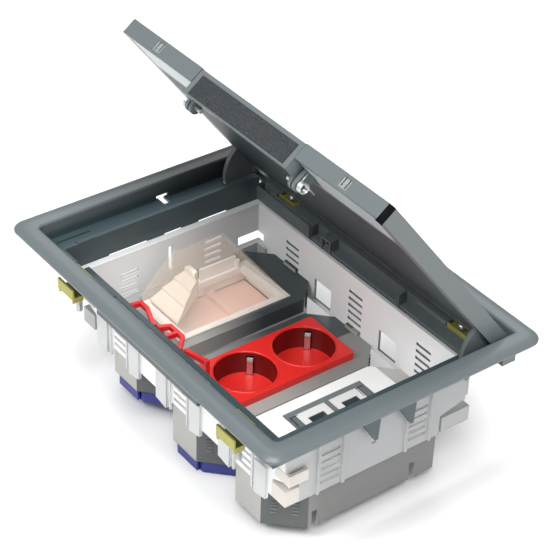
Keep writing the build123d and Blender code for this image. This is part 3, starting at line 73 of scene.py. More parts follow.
class Wire:
    """A shader value that can be used in a Python expression."""

    def __init__(self, tree, socket):
        self.tree = tree
        self.socket = socket

    def _math(self, operation, *values):
        return self.tree.node("ShaderNodeMath", {"operation": operation}, *values)[0]

    def __add__(self, other):
        return self._math("ADD", self, other)

    def __radd__(self, other):
        return self._math("ADD", other, self)

    def __sub__(self, other):
        return self._math("SUBTRACT", self, other)

    def __mul__(self, other):
        return self._math("MULTIPLY", self, other)

    def __rmul__(self, other):
        return self._math("MULTIPLY", other, self)

    def __truediv__(self, other):
        return self._math("DIVIDE", self, other)

    def __lt__(self, other):
        return self._math("LESS_THAN", self, other)

    def __gt__(self, other):
        return self._math("GREATER_THAN", self, other)

    def __pow__(self, other):
        return self._math("POWER", self, other)

    def size(self):
        return self._math("ABSOLUTE", self)

    def least(self, other):
        """The smaller of two values."""
        return self._math("MINIMUM", self, other)

    def most(self, other):
        """The larger of two values."""
        return self._math("MAXIMUM", self, other)


class Outlets:
    """The outputs of one node, by number or by name."""

    def __init__(self, tree, made):
        self.tree = tree
        self.made = made

    def __getitem__(self, key):
        return Wire(self.tree, self.made.outputs[key])


class Finish:
    """One surface finish: a node tree with its expressions and its Principled shader."""

    def __init__(self, name):
        self.material = bpy.data.materials.new(name)
        self.material.use_nodes = True
        self.tree = self.material.node_tree
        self.tree.nodes.clear()
        self.shader = self.tree.nodes.new("ShaderNodeBsdfPrincipled")
        output = self.tree.nodes.new("ShaderNodeOutputMaterial")
        self.tree.links.new(self.shader.outputs[0], output.inputs["Surface"])
        self.place = self.node("ShaderNodeTexCoord", {})["Object"]

    def node(self, kind, settings, *values, **named):
        """Adds a node: its settings first, then its inputs in order and by name."""
        made = self.tree.nodes.new(kind)
        for key, value in settings.items():
            if key == "stops":
                self.fill_ramp(made.color_ramp, value)
            else:
                setattr(made, key, value)
        for i, value in enumerate(values):
            self.feed(made.inputs[i], value)
        for key, value in named.items():
            self.feed(made.inputs[key.replace("_", " ")], value)
        return Outlets(self, made)

    @staticmethod
    def fill_ramp(ramp, stops):
        """Sets a colour ramp's stops: where each lies and how bright it is."""
        while len(ramp.elements) < len(stops):
            ramp.elements.new(0.5)
        for element, (at, bright) in zip(ramp.elements, stops):
            element.position = at
            element.color = (bright, bright, bright, 1.0)

    def feed(self, socket, value):
        """Gives an input a fixed value or another node's output."""
        if isinstance(value, Wire):
            self.tree.links.new(value.socket, socket)
        else:
            socket.default_value = value

    def set(self, **values):
        """Feeds the shader's inputs by name."""
        for key, value in values.items():
            self.feed(self.shader.inputs[key.replace("_", " ")], value)

    def split(self, vector):
        parts = self.node("ShaderNodeSeparateXYZ", {}, Vector=vector)
        return parts[0], parts[1], parts[2]

    def spot(self):
        """Where a point of the surface lies: x, y and z."""
        return self.split(self.place)

    def facing(self):
        """Which way the surface faces there: x, y and z."""
        return self.split(self.node("ShaderNodeTexCoord", {})["Normal"])

    def noise(self, scale, detail=2.0, rough=0.5, place=None):
        return self.node("ShaderNodeTexNoise", {}, Vector=place or self.place, Scale=scale,
                         Detail=detail, Roughness=rough)[0]

    def blend(self, factor, first, second):
        """A colour between two, by a factor."""
        made = self.tree.nodes.new("ShaderNodeMix")
        made.data_type = "RGBA"
        for socket, value in ((0, factor), (6, first), (7, second)):
            self.feed(made.inputs[socket], value)
        return Wire(self, made.outputs[2])

    def relief(self, height, distance, strength=1.0, edge=0.0):
        """Bump from a height, over edges rounded to a radius where one is given."""
        bump = self.node("ShaderNodeBump", {}, Height=height, Distance=distance,
                         Strength=strength)
        if edge:
            soft = self.node("ShaderNodeBevel", {"samples": 4}, Radius=edge)[0]
            self.feed(bump.made.inputs["Normal"], soft)
        self.set(Normal=bump[0])


def shade(colour, factor):
    """A colour made brighter or darker, with the fourth value that a socket needs."""
    return tuple(min(1.0, c * factor) for c in colour) + (1.0,)


def ramped(value, low, high):
    """A value's share of the way from low to high, kept between 0 and 1."""
    return ((value - low) / (high - low)).most(0.0).least(1.0)


# Each patch gives where a moulding takes a second colour, and that colour. In them x, y and z
# are where a point lies, and to_x, to_y and to_z which way the surface faces there.

def recess_patch(f):
    """The frame's deep inner faces, which see little light, are a darker slate."""
    slate = (0.038, 0.060, 0.068)
    _, y, z = f.spot()
    deep = ramped(z, -0.0015, -0.0060)
    before_hinge = ramped(y, 0.074, 0.066)
    return deep * before_hinge, slate


def far_reflection_patch(f):
    """The far end of the flange carries a painted dark reflection, darker towards the hinge."""
    near_black = (0.012, 0.015, 0.017)
    x, y, _ = f.spot()
    far_end = ramped(x, -0.117, -0.123)
    towards_hinge = ramped(y, -0.070, 0.020)
    return far_end * towards_hinge * 0.9, near_black


def inside_light_patch(f):
    """The carrier's inner faces carry painted light, which makes them brighter than its outer
    ones.
    """
    white = (0.93, 0.935, 0.94)
    x, y, _ = f.spot()
    within = (x.size() < 0.1042) * (y < 0.0704) * (y > -0.0640)
    towards_front = ramped(y, 0.075, -0.020)
    rear_wall = (y > 0.069) * ramped(x, -0.130, 0.010)
    return within * (towards_front * 0.6).most(rear_wall), white


def flank_patch(f):
    """The carrier's outer right face is in half shade behind the near corner."""
    gray = (0.27, 0.275, 0.28)
    x, y, _ = f.spot()
    to_x, _, _ = f.facing()
    outer = (to_x > SQUARE_ON) * (x > 0.1045)
    behind_corner = ramped(y, -0.078, -0.030)
    return outer * behind_corner * 0.75, gray


def slot_patch(f):
    """The cut edges of the rear wall's ladder slots and windows lie in shade."""
    shadow = (0.10, 0.118, 0.124)
    x, y, z = f.spot()
    to_x, _, to_z = f.facing()
    cut = (to_z.size() > SQUARE_ON).most(to_x.size() > SQUARE_ON)
    rear_wall = (y > 0.0699) * (y < 0.0727)
    below_rim = z < -0.0275
    between_ends = x.size() < 0.090
    return cut * rear_wall * below_rim * between_ends, shadow


def shaded_block_patch(f):
    """The corner pieces away from the near corner carry painted shade as gray; the one at the
    near corner stays cream.
    """
    gray = (0.34, 0.345, 0.345)
    x, y, _ = f.spot()
    return (x < 0.0).most(y > 0.0), gray


def floor_patch(f):
    """The service floor fades towards its front."""
    pale = (0.93, 0.78, 0.72)
    _, y, _ = f.spot()
    return ramped(y, 0.010, -0.036), pale


def tray_reflection_and_shade_patch(f):
    """The left and middle trays darken to charcoal at the back with a painted dark reflection and
    shade, and all corners are darker with painted shade, as is the right flank behind the near
    corner.
    """
    charcoal = (0.034, 0.044, 0.048)
    left_tray_end, middle_tray_end, step_foot = -0.033, 0.0331, -0.066
    x, y, z = f.spot()
    to_x, to_y, to_z = f.facing()
    upward = to_z > 0.5
    stepped = (to_x > SQUARE_ON) * (z > step_foot)
    share = (x < left_tray_end).most((x < 0.0) * 0.95).most((x < middle_tray_end) * 0.50)
    back = ramped(y, -0.050, 0.024) * share
    corner = (to_x * to_y).size() > 0.3
    flank = (to_x > SQUARE_ON) * (x > 0.09) * ramped(y, -0.075, -0.030)
    return (upward.most(stepped) * back).most(corner * 0.85).most(flank * 0.62), charcoal


def well_shade_patch(f):
    """The walls of the two plug wells are painted a deep red as shade."""
    shaded_red = (0.115, 0.004, 0.004)
    low, high = (Vector(v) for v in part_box("socket_plate"))
    x, y, z = f.spot()
    along = (y - (low.y + high.y) / 2).size() - WELL_OFFSET
    out = (x * x + along * along) ** 0.5
    wall = (out > 0.0190) * (out < 0.0203)
    return wall * (z < high.z - 0.0004) * (z > low.z + 0.0016), shaded_red


def port_patch(f):
    """The inside of each data jack is in shade."""
    shadow = (0.075, 0.092, 0.096)
    _, _, z = f.spot()
    return ramped(z, -0.0643, -0.0647), shadow


def moulded(name, colour, rough=0.42, grain=1400.0, depth=0.00003, drift=0.06, edge=0.0005,
            gloss=0.5, patches=()):
    """Injection moulded plastic: fine spark texture, a faint drift of tone and soft edges."""
    f = Finish(name)
    cloud = f.noise(14.0, detail=3.0)
    fine = f.noise(grain)
    stops = [(0.3, 1.0 - drift), (0.7, 1.0)]
    tone = f.node("ShaderNodeValToRGB", {"stops": stops}, Fac=cloud)[0]
    base = f.blend(tone, shade(colour, 1.0 - drift), shade(colour, 1.0 + drift))
    for patch in patches:
        where, other = patch(f)
        base = f.blend(where, base, shade(other, 1.0))
    f.set(Base_Color=base)
    f.set(Roughness=rough - 0.05 + 0.1 * fine + 0.05 * cloud, Specular_IOR_Level=gloss)
    f.relief(fine, depth, 0.6, edge)
    return f.material


def plated(name, colour, rough=0.3, drift=0.15, edge=0.0003, metal=1.0):
    """Plated sheet or turned metal: drawn lines and a cloudy plating."""
    f = Finish(name)
    drawn = f.node("ShaderNodeMapping", {}, Vector=f.place, Scale=(900.0, 60.0, 900.0))[0]
    lines = f.noise(1.0, place=drawn)
    cloud = f.noise(90.0, detail=4.0)
    f.set(Base_Color=f.blend(cloud, shade(colour, 1.0 - drift), shade(colour, 1.0 + drift)))
    f.set(Metallic=metal, Roughness=rough + 0.16 * lines + 0.1 * cloud)
    f.relief(lines, 0.00002, 0.5, edge)
    return f.material


def threaded(name, colour, rough):
    """Turned steel whose shank carries a rolled thread below the head."""
    half_pitch_mm, head_end = 0.35, -0.0185
    f = Finish(name)
    cloud = f.noise(90.0, detail=4.0)
    _, _, height = f.spot()
    turn = f.node("ShaderNodeMath", {"operation": "PINGPONG"}, height * 1000.0, half_pitch_mm)[0]
    crest = turn * (height < head_end)
    # The thread's valleys are painted darker as shade and its crests lighter as highlight.
    f.set(Base_Color=f.blend(crest * 1.6 + cloud * 0.3, shade(colour, 0.7), shade(colour, 1.1)))
    f.set(Metallic=1.0, Roughness=rough + 0.15 * cloud)
    f.relief(crest + 0.02 * cloud, 0.0012, 0.8)
    return f.material


def foam(name, colour):
    """Open cell foam: pits painted dark as shade, over a soft grain."""
    f = Finish(name)
    cells = f.node("ShaderNodeTexVoronoi", {}, Vector=f.place, Scale=900.0)[0]
    fine = f.noise(500.0, detail=4.0, rough=0.7)
    depth = cells * 0.7 + fine * 0.5
    f.set(Base_Color=f.blend(depth, shade(colour, 0.35), shade(colour, 1.5)), Roughness=0.9,
          Specular_IOR_Level=0.2)
    f.relief(depth, 0.0006, 0.9)
    return f.material


def tinted(name, colour, alpha):
    """Clear tinted sheet that shows what is under it."""
    f = Finish(name)
    cloud = f.noise(20.0)
    f.set(Base_Color=f.blend(cloud, shade(colour, 0.96), shade(colour, 1.0)))
    f.set(Roughness=0.12 + 0.05 * cloud, Alpha=alpha + 0.04 * cloud, IOR=1.49,
          Specular_IOR_Level=0.6)
    return f.material


CHARCOAL = (0.100, 0.118, 0.124)
FINISHES = {
    "frame": moulded("charcoal_moulding", CHARCOAL, 0.34, drift=0.04, edge=0.0008,
                     patches=(recess_patch, far_reflection_patch)),
    "rim": moulded("charcoal_rim_moulding", CHARCOAL, 0.30, drift=0.04, patches=(far_reflection_patch,)),
    "lid": moulded("charcoal_lid_moulding", (0.098, 0.114, 0.120), 0.32, drift=0.04),
    "light": moulded("pale_gray_moulding", (0.53, 0.535, 0.54), 0.42, drift=0.03,
                     patches=(inside_light_patch, flank_patch, slot_patch)),
    "tray": moulded("warm_gray_moulding", (0.36, 0.355, 0.335), 0.34, drift=0.05,
                    patches=(tray_reflection_and_shade_patch,)),
    "cream": moulded("cream_moulding", (0.72, 0.64, 0.55), 0.45, drift=0.04),
    "block": moulded("corner_piece_moulding", (0.58, 0.55, 0.50), 0.45, drift=0.04,
                     patches=(shaded_block_patch,)),
    "white": moulded("white_moulding", (0.80, 0.80, 0.79), 0.34, drift=0.02),
    "insert": moulded("silver_gray_moulding", (0.135, 0.155, 0.160), 0.4, drift=0.04),
    "jack": moulded("jack_moulding", (0.62, 0.62, 0.61), 0.4, drift=0.04,
                    patches=(port_patch,)),
    "label": moulded("dark_label_strip", (0.110, 0.128, 0.134), 0.2, drift=0.08),
    "pale": moulded("ivory_moulding", (0.84, 0.81, 0.77), 0.42, drift=0.03),
    "salmon": moulded("salmon_moulding", (0.84, 0.52, 0.43), 0.45, drift=0.04,
                      patches=(floor_patch,)),
    "red": moulded("red_moulding", (0.62, 0.020, 0.016), 0.28, grain=2200.0, depth=0.00001,
                   drift=0.04, patches=(well_shade_patch,)),
    "strap": moulded("red_strap_moulding", (0.55, 0.010, 0.012), 0.28, grain=2200.0,
                     depth=0.00001, drift=0.05),
    "blue": moulded("blue_moulding", (0.022, 0.030, 0.20), 0.4, drift=0.08),
    "clear": tinted("tinted_clear_sheet", (0.74, 0.64, 0.54), 0.16),
    "yellow": plated("yellow_zinc_plate", (0.36, 0.34, 0.09), 0.38, metal=0.5),
    "steel": plated("bright_zinc_plate", (0.62, 0.63, 0.64), 0.28),
    "screw": threaded("threaded_zinc_plate", (0.60, 0.61, 0.62), 0.30),
    "brass": plated("contact_brass", (0.62, 0.45, 0.2), 0.3),
    "sheet": moulded("dark_painted_sheet", (0.027, 0.046, 0.054), 0.45, grain=900.0,
                     drift=0.06, gloss=0.2),
    "bars": moulded("bright_satin_strip", (0.35, 0.41, 0.43), 0.30, drift=0.05),
    "catch": moulded("gray_catch_moulding", (0.21, 0.22, 0.22), 0.35, drift=0.05),
    # Black for the label grooves, and painted shade for the strip round the lid's corner.
    "seal": moulded("black_groove_and_shade", (0.004, 0.004, 0.005), 0.7, drift=0.1, gloss=0.05),
    "infill": moulded("infill_panel_moulding", (0.09, 0.095, 0.095), 0.6, grain=700.0,
                      depth=0.00008),
    "foam": foam("black_cell_foam", (0.03, 0.033, 0.036)),
}

# The CAD nodes that take each finish. A screw or claw is known by the start of its name.
FINISH_NODES = {
    "frame": ("trim_frame",),
    "lid": ("lid_frame", "hinge_arm_left", "hinge_arm_right", "outlet_flap"),
    "light": ("carrier_front", "carrier_back", "carrier_left", "carrier_right"),
    "tray": ("tray_left", "tray_middle", "tray_right"),
    "cream": ("cable_ramp",),
    "block": ("corner_blocks",),
    "white": ("data_cover",),
    "insert": ("data_insert",),
    "jack": ("rj45_jacks",),
    "label": ("label_holders",),
    "pale": ("terminal_frame",),
    "salmon": ("service_floor",),
    "red": ("socket_plate",),
    "strap": ("socket_shutters", "cord_retainers"),
    "blue": ("wiring_base_left", "wiring_base_middle", "socket_base"),
    "clear": ("clear_hood",),
    "yellow": ("clamp_plates", "clamp_claw"),
    "steel": ("hinge_pins", "earth_clips", "flap_pins", "flap_springs"),
    "screw": ("clamp_screw",),
    "brass": ("contact_sleeves",),
    "sheet": ("lid_plate",),
    "bars": ("front_bars",),
    "catch": ("lid_catches",),
    "infill": ("lid_insert",),
    "foam": ("foam_pad",),
}


def dress_nodes():
    """Gives every CAD node its finish."""
    for name, node in NODES.items():
        for finish, starts in FINISH_NODES.items():
            if name.startswith(starts):
                node.data.materials.clear()
                node.data.materials.append(FINISHES[finish])


def placed(name, data):
    """An object in the scene that holds a mesh, a lamp or a camera."""
    made = bpy.data.objects.new(name, data)
    bpy.context.scene.collection.objects.link(made)
    return made


def as_mesh(name, bm):
    """A mesh made of a bmesh, which is used up."""
    mesh = bpy.data.meshes.new(name)
    bm.to_mesh(mesh)
    bm.free()
    return mesh


def add_piece(name, bm, finish, body, smooth=False):
    """Makes an object of a bmesh that rides on a body and takes its finish from a slot."""
    bmesh.ops.recalc_face_normals(bm, faces=bm.faces)
    mesh = as_mesh(name, bm)
    made = placed(name, mesh)
    mesh.materials.append(FINISHES[finish])
    for face in mesh.polygons:
        face.use_smooth = smooth
    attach(made, body)
    return made


def box_mm(node):
    """The lowest and highest corner of a CAD node, in millimetres."""
    return (Vector(v) * 1000 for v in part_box(node))


def rod(bm, start, end, radius):
    """A closed round bar between two points."""
    a, b = Vector(start), Vector(end)
    turn = (b - a).to_track_quat("Z", "Y").to_matrix().to_4x4()
    bmesh.ops.create_cone(bm, cap_ends=True, segments=8, radius1=radius, radius2=radius,
                          depth=(b - a).length, matrix=Matrix.Translation((a + b) / 2) @ turn)


def wire_circle(bm, centre, outward, across, radius, sides=8):
    """A ring of points and edges in the plane of two directions."""
    ring = []
    for i in range(sides):
        angle = math.tau * i / sides
        ring.append(bm.verts.new(Vector(centre) + Vector(outward) * radius * math.cos(angle)
                                 + Vector(across) * radius * math.sin(angle)))
    edges = [bm.edges.new((ring[i], ring[(i + 1) % sides])) for i in range(sides)]
    return ring + edges


def softened(bm, edges, by):
    """Rounds edges over with two facets."""
    bmesh.ops.bevel(bm, geom=edges, offset=by, segments=2, affect="EDGES", profile=0.5,
                    material=-1)


def block(bm, x, y, z, soften=0.0):
    """A box between pairs of limits in millimetres, its edges softened where asked."""
    size = Vector((x[1] - x[0], y[1] - y[0], z[1] - z[0])) / 1000
    middle = Vector((x[0] + x[1], y[0] + y[1], z[0] + z[1])) / 2000
    place = Matrix.Translation(middle) @ Matrix.Diagonal((*size, 1))
    made = bmesh.ops.create_cube(bm, size=1.0, matrix=place)
    if soften:
        edges = dict.fromkeys(e for v in made["verts"] for e in v.link_edges)
        softened(bm, list(edges), soften / 1000)


def sections(bm, rows):
    """A closed solid through four-cornered sections in order, in millimetres."""
    made = [[bm.verts.new(Vector(p) / 1000) for p in row] for row in rows]
    for a, b in zip(made, made[1:]):
        for k in range(4):
            bm.faces.new((a[k], a[(k + 1) % 4], b[(k + 1) % 4], b[k]))
    bm.faces.new(made[0])
    bm.faces.new(made[-1])


def coil_springs():
    """The outlet's torsion springs as wound wire with two legs each."""
    wire, reach, turns, steps, length = 0.00045, 0.0029, 4, 22, 0.0044
    flap_leg = Vector((0, 0.606, -0.796)) * 0.011
    lid_leg = Vector((0, 0.004, 0.0035))
    low, high = (Vector(v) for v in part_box("flap_pins"))
    axis_y, axis_z = (low.y + high.y) / 2, (low.z + high.z) / 2
    box_low, box_high = (Vector(v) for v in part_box("flap_springs"))
    bm = bmesh.new()
    for side in (-1, 1):
        outer = box_high.x if side > 0 else box_low.x
        start = outer - side * length
        pitch = (length - 2 * wire) / turns
        end = start + side * pitch * turns
        first, last = (Vector((x, axis_y, axis_z + reach)) for x in (start, end))
        ring = wire_circle(bm, first, (0, 0, 1), (1, 0, 0), wire)
        bmesh.ops.spin(bm, geom=ring, cent=(start, axis_y, axis_z), axis=(1, 0, 0),
                       angle=math.tau * turns, steps=steps * turns,
                       dvec=(side * pitch / steps, 0, 0))
        rod(bm, last, last + flap_leg, wire)
        rod(bm, first, first + lid_leg, wire)
    piece = add_piece("wound_springs", bm, "steel", "lid", smooth=True)
    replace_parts(piece, "flap_springs")


def well_rims():
    """The rounded lip round each socket well."""
    rim_radius, lip_radius = 0.0204, 0.0007
    low, high = (Vector(v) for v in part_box("socket_plate"))
    bm = bmesh.new()
    for way in (-1, 1):
        y = (low.y + high.y) / 2 + way * WELL_OFFSET
        ring = wire_circle(bm, (rim_radius, y, high.z), (1, 0, 0), (0, 0, 1), lip_radius, 10)
        bmesh.ops.spin(bm, geom=ring, cent=(0, y, high.z), axis=(0, 0, 1), angle=math.tau,
                       steps=72, use_merge=True)
    add_piece("socket_well_rims", bm, "red", "box", smooth=True)


def hood_points(inset):
    """The corners of the clear hood, drawn in by an inset: tall end first, then low end."""
    low, _ = box_mm("clear_hood")
    length = 54.5
    front_lean, back_lean = 0.96, 0.47
    # For each end: where it stands along x, its front and back foot, and its height.
    ends = ((low.x + inset, -31.0, 46.0, 25.6), (low.x + length - inset, -41.5, 49.0, 2.6))
    points = []
    for x, front, back, full in ends:
        front, back, high = front + inset, back - inset, full - inset
        points += [(x, front, low.z), (x, front + front_lean * high, low.z + high),
                   (x, back - back_lean * high, low.z + high), (x, back, low.z)]
    return points


def clear_shell():
    """The clear hood as one thin moulded sheet with flat faces, open underneath."""
    sheet = 1.0
    bm = bmesh.new()
    shells = [[bm.verts.new(Vector(p) / 1000) for p in hood_points(inset)]
              for inset in (0.0, sheet)]
    for v in shells:
        for corners in ((0, 1, 2, 3), (7, 6, 5, 4), (0, 4, 5, 1), (1, 5, 6, 2), (2, 6, 7, 3)):
            bm.faces.new([v[k] for k in corners])
    outer, inner = shells
    for a, b in ((0, 3), (3, 7), (7, 4), (4, 0)):
        bm.faces.new((outer[a], outer[b], inner[b], inner[a]))
    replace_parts(add_piece("clear_shell", bm, "clear", "box"), "clear_hood")


def rim_loop(x, y_front, y_back, front_r, back_r, steps=9):
    """A rounded rectangle's points, corner by corner, so that two such loops pair up."""
    corners = ((1, y_back, back_r), (-1, y_back, back_r), (-1, y_front, front_r),
               (1, y_front, front_r))
    loop = []
    for i, (way_x, y, r) in enumerate(corners):
        way_y = 1 if y > 0 else -1
        for k in range(steps):
            angle = math.radians(90.0 * (i + k / (steps - 1)))
            loop.append(Vector((way_x * (x - r) + r * math.cos(angle),
                                y - way_y * r + r * math.sin(angle), 0)))
    return loop


def rounded_rim():
    """The rounded crown of the floor flange, which lies over the plain flange."""
    corner, inner_corner, back_corner = 0.009, 0.004, 0.0005
    side, front, back = 0.0136, 0.0130, 0.0117
    # How far in from the outer edge, and how high over the floor, in millimetres.
    profile = ((0.5, 0.4), (-0.12, 0.2), (-0.15, 1.25), (0.35, 1.95), (1.2, 2.55), (2.4, 3.10),
               (3.8, 3.48), (5.4, 3.70), (7.2, 3.76), (9.2, 3.70), (11.2, 3.58), (12.35, 3.53),
               (13.0, 2.95), (13.62, 2.25), (13.0, 1.0))
    high = Vector(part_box("trim_frame")[1])
    outer = rim_loop(high.x, -high.y, high.y, corner, corner)
    inner = rim_loop(high.x - side, front - high.y, high.y - back, inner_corner, back_corner)
    bm = bmesh.new()
    rows = []
    for across, up in profile:
        share = across / 1000 / side
        lift = Vector((0, 0, up / 1000))
        rows.append([bm.verts.new(a.lerp(b, share) + lift) for a, b in zip(outer, inner)])
    for row, above in zip(rows, rows[1:] + rows[:1]):
        for k in range(len(row)):
            n = (k + 1) % len(row)
            bm.faces.new((row[k], row[n], above[n], above[k]))
    add_piece("flange_crown", bm, "rim", "box", smooth=True)


def stepped_ramp():
    """The stepped cream ramp under the hood, narrower towards the knob at its top."""
    base = -54.5
    # Front to back: y, the two sides and the top of each section.
    shape = ((-28.0, -86.0, -54.5, -52.6), (-19.0, -86.0, -60.5, -49.0),
             (-18.4, -86.0, -60.9, -47.4), (-10.0, -85.5, -66.5, -44.6),
             (-9.4, -85.5, -66.9, -42.8), (-2.6, -85.0, -70.5, -40.6),
             (-2.2, -84.0, -73.5, -36.8), (1.2, -83.5, -74.5, -36.6),
             (1.6, -83.5, -74.0, -52.6))
    bm = bmesh.new()
    sections(bm, [((x0, y, z), (x1, y, z), (x1, y, base), (x0, y, base))
                  for y, x0, x1, z in shape])
    softened(bm, [e for e in bm.edges if e.calc_length() > 0.004], 0.0004)
    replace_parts(add_piece("stepped_ramp", bm, "cream", "box"), "cable_ramp")


def corner_bands():
    """The upper leg of each front corner piece, seen through the carrier's corner window."""
    outer, height = 108.9, (-51.4, -43.4)
    bm = bmesh.new()
    for way in (-1, 1):
        block(bm, sorted((way * 95.2, way * outer)), (-63.3, -61.0), height, 0.3)
        block(bm, sorted((way * 106.6, way * outer)), (-61.2, -49.7), height, 0.3)
    add_piece("corner_piece_bands", bm, "block", "box")


def cut_copy(name, node, finish, cutters):
    """A copy of a carrier wall with more cut out of it, which stands for that wall."""
    bm = bmesh.new()
    bm.from_mesh(NODES[node].data)
    bmesh.ops.remove_doubles(bm, verts=bm.verts, dist=0.000005)
    source = placed(name + "_source", as_mesh(name + "_source", bm))
    bm = bmesh.new()
    for x, y, z in cutters:
        block(bm, x, y, z)
    tool = placed(name + "_tool", as_mesh(name + "_tool", bm))
    cut = source.modifiers.new("cut", "BOOLEAN")
    cut.object = tool
    cut.operation = "DIFFERENCE"
    cut.solver = "EXACT"
    bpy.context.view_layer.update()
    result = source.evaluated_get(bpy.context.evaluated_depsgraph_get())
    bm = bmesh.new()
    bm.from_mesh(result.to_mesh())
    bpy.data.objects.remove(source)
    bpy.data.objects.remove(tool)
    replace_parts(add_piece(name, bm, finish, "box"), node)


def rear_windows():
    """The rear corner windows of the carrier, whose top edges are level."""
    foot = -60.0
    ends = [(sorted((way * 97.4, way * 110.0)), (69.0, 73.0), (foot, -48.0)) for way in (-1, 1)]
    side = [((-110.0, -102.0), (53.5, 73.0), (foot, -47.6))]
    cut_copy("carrier_back_wall", "carrier_back", "light", ends)
    cut_copy("carrier_left_wall", "carrier_left", "light", side)


def rear_fittings():
    """The deeper block and open bracket on the frame's wall under the hinge, and their shelf."""
    plate, deep = (71.9, 73.5), (71.9, 78.4)
    foot, top, sheet = -26.0, -16.4, 1.6
    bm = bmesh.new()
    block(bm, (-51.0 - sheet, -51.0), deep, (foot, top), 0.3)
    block(bm, (-110.0, -51.2), plate, (foot, top), 0.3)
    for x in (-39.4, -31.0):
        block(bm, (x - sheet / 2, x + sheet / 2), deep, (foot, -17.2), 0.3)
    block(bm, (-40.2, -30.2), deep, (top - sheet, top), 0.3)
    block(bm, (36.2, 36.2 + sheet), deep, (foot, -17.0), 0.3)
    block(bm, (-47.0, 47.0), (71.0, 78.4), (-27.3, -26.5), 0.2)
    add_piece("rear_wall_fittings", bm, "frame", "box")


def front_lip():
    """The frame's lip over the top edge of the carrier's front wall."""
    bm = bmesh.new()
    block(bm, (-104.5, 104.5), (-64.5, -60.6), (-26.3, -25.5), 0.25)
    add_piece("front_lip", bm, "frame", "box")


def corner_shade_strip():
    """The black strip round the rounded right corner of the lid's free edge, put there as painted
    shade.
    """
    centre_x, centre_y, inner, outer = 118.9, -80.9, 3.45, 3.74
    bottom, top, first, sweep, steps = -9.4, 2.1, -80.0, 75.0, 8
    rows = []
    for k in range(steps + 1):
        angle = math.radians(first + sweep * k / steps)
        corners = ((inner, bottom), (outer, bottom), (outer, top), (inner, top))
        rows.append([(centre_x + r * math.cos(angle), centre_y + r * math.sin(angle), z)
                     for r, z in corners])
    bm = bmesh.new()
    sections(bm, rows)
    # Drawn on the shut lid, then turned open with it.
    turn = (Matrix.Translation(HINGE) @ Matrix.Rotation(LID_OPEN, 4, "X")
            @ Matrix.Translation(-HINGE))
    bmesh.ops.transform(bm, matrix=turn, verts=bm.verts)
    add_piece("corner_shade_strip", bm, "seal", "lid", smooth=True)


def label_grooves():
    """The dark groove along two sides of each label strip."""
    strip, near, far = 6.2, 0.4, 0.9
    low, high = box_mm("label_holders")
    height = (high.z - 0.1, high.z + 0.06)
    bm = bmesh.new()
    for y in (low.y, high.y - strip):
        block(bm, (low.x + near, low.x + far), (y + near, y + strip - near), height)
        block(bm, (low.x + near, low.x + 9.0), (y + near, y + far), height)
    add_piece("label_grooves", bm, "seal", "box")


def screw_caps():
    """The domed heads of the two clamp screws under the hinge."""
    radius, height, flat = 0.0030, -0.0150, Matrix.Diagonal((1, 1, 0.6, 1))
    for place, x in (("left", -BACK_SCREW_X), ("right", BACK_SCREW_X)):
        bm = bmesh.new()
        bmesh.ops.create_uvsphere(
            bm, u_segments=24, v_segments=12, radius=radius,
            matrix=Matrix.Translation((x, BACK_SCREW_Y, height)) @ flat)
        add_piece("screw_cap_" + place, bm, "steel", "clamp_screw_back_" + place,
                  smooth=True)


def bent_claws():
    """Each clamp's claw as bent sheet: a plate, its upturned lip, two folded cheeks and a nut."""
    half, sheet, lip_top = 8.6, 1.6, -14.6
    for place in ("front_left", "front_right", "back_left", "back_right"):
        low, high = box_mm("clamp_claw_" + place)
        way = -1 if "front" in place else 1
        outer = low.y if way < 0 else high.y
        middle, seat = (low.x + high.x) / 2, low.z + 4.0
        screw_low, screw_high = box_mm("clamp_screw_" + place)
        width = (middle - half, middle + half)
        bm = bmesh.new()
        block(bm, width, sorted((outer, outer - way * 12.0)), (seat, seat + sheet), 0.4)
        block(bm, width, sorted((outer, outer - way * 1.8)), (seat + 1.0, lip_top), 0.5)
        for x in (middle - half, middle + half - sheet):
            block(bm, (x, x + sheet), sorted((outer - way * 0.4, outer - way * 8.0)),
                  (seat - 2.6, seat + 0.6), 0.4)
        nut = Vector((middle, (screw_low.y + screw_high.y) / 2, seat - 1.8)) / 1000
        bmesh.ops.create_cone(bm, cap_ends=True, segments=6, radius1=0.0040, radius2=0.0040,
                              depth=0.0036, matrix=Matrix.Translation(nut))
        piece = add_piece("bent_claw_" + place, bm, "yellow", "clamp_claw_" + place)
        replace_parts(piece, "clamp_claw_" + place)


def backdrop():
    """A pale floor that carries the shadow and whitens with distance through a painted glow."""
    bm = bmesh.new()
    bmesh.ops.create_grid(bm, x_segments=1, y_segments=1, size=6.0)
    bmesh.ops.translate(bm, verts=bm.verts, vec=(0, 0, CAD_BOX[0][2] - 0.0005))
    floor = placed("pale_floor", as_mesh("pale_floor", bm))
    f = Finish("pale_floor_paint")
    x, y, _ = f.spot()
    away = (x * x + y * y) ** 0.5
    glow = f.blend(ramped(away, 0.5, 1.8), shade((0.0, 0.0, 0.0), 1.0),
                   shade((0.62, 0.62, 0.62), 1.0))
    f.set(Base_Color=(0.9, 0.9, 0.9, 1.0), Roughness=0.9, Specular_IOR_Level=0.1,
          Emission_Color=glow, Emission_Strength=1.0)
    floor.data.materials.append(f.material)


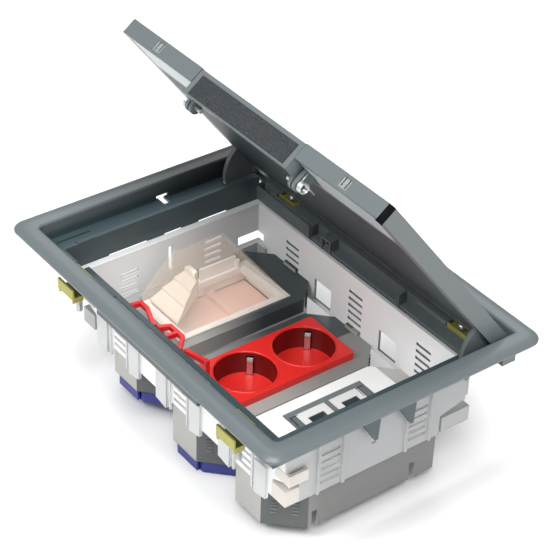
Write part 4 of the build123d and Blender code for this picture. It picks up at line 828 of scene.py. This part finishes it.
def surround():
    """A dim white world, which the camera itself sees as full white."""
    world = bpy.data.worlds.new("studio")
    bpy.context.scene.world = world
    world.use_nodes = True
    tree = world.node_tree
    tree.nodes.clear()
    out = tree.nodes.new("ShaderNodeOutputWorld")
    path = tree.nodes.new("ShaderNodeLightPath")
    mix = tree.nodes.new("ShaderNodeMixShader")
    tree.links.new(path.outputs["Is Camera Ray"], mix.inputs[0])
    for socket, strength in ((1, 0.36), (2, 1.0)):
        white = tree.nodes.new("ShaderNodeBackground")
        white.inputs[0].default_value = (1, 1, 1, 1)
        white.inputs[1].default_value = strength
        tree.links.new(white.outputs[0], mix.inputs[socket])
    tree.links.new(mix.outputs[0], out.inputs[0])


def studio():
    """Soft square lamps: where each stands, the point it faces, its size and its power."""
    lamps = (
        ("key_lamp", (1.2, -0.75, 1.8), (0, 0, 0), 0.9, 34.0),
        ("top_lamp", (0.1, -0.3, 1.9), (0, 0, 0), 0.9, 24.0),
        ("side_lamp", (1.8, 0.3, 0.9), (0, 0, 0), 1.0, 6.0),
        ("front_lamp", (0.1, -1.5, 1.7), (0, 0.05, 0), 0.7, 24.0),
        ("back_lamp", (-1.2, 1.0, 1.6), (0, 0, 0), 1.2, 10.0),
    )
    for name, place, target, size, power in lamps:
        light = bpy.data.lights.new(name, "AREA")
        light.shape = "SQUARE"
        light.size = size
        light.energy = power
        made = placed(name, light)
        made.location = place
        aim = Vector(target) - Vector(place)
        made.rotation_euler = aim.to_track_quat("-Z", "Y").to_euler()


def camera():
    """The camera that took the photograph, solved from the frame's straight edges."""
    data = bpy.data.cameras.new("camera")
    data.sensor_width = 36.0
    data.lens = 124.73
    data.clip_start = 0.05
    made = placed("camera", data)
    place = Vector((0.73238, -0.55896, 0.66612))
    right = Vector((0.59406638, 0.80392623, 0.02806705))
    down = Vector((0.48231565, -0.32805248, -0.81225192))
    ahead = Vector((-0.64378315, 0.49606873, -0.58263116))
    turn = Matrix((right, -down, -ahead)).transposed().to_4x4()
    made.matrix_world = Matrix.Translation(place) @ turn
    bpy.context.scene.camera = made
    bpy.context.scene.view_settings.view_transform = "Standard"


camera()
dress_nodes()
coil_springs()
well_rims()
clear_shell()
rounded_rim()
stepped_ramp()
corner_bands()
rear_windows()
rear_fittings()
screw_caps()
front_lip()
corner_shade_strip()
label_grooves()
bent_claws()
backdrop()
surround()
studio()
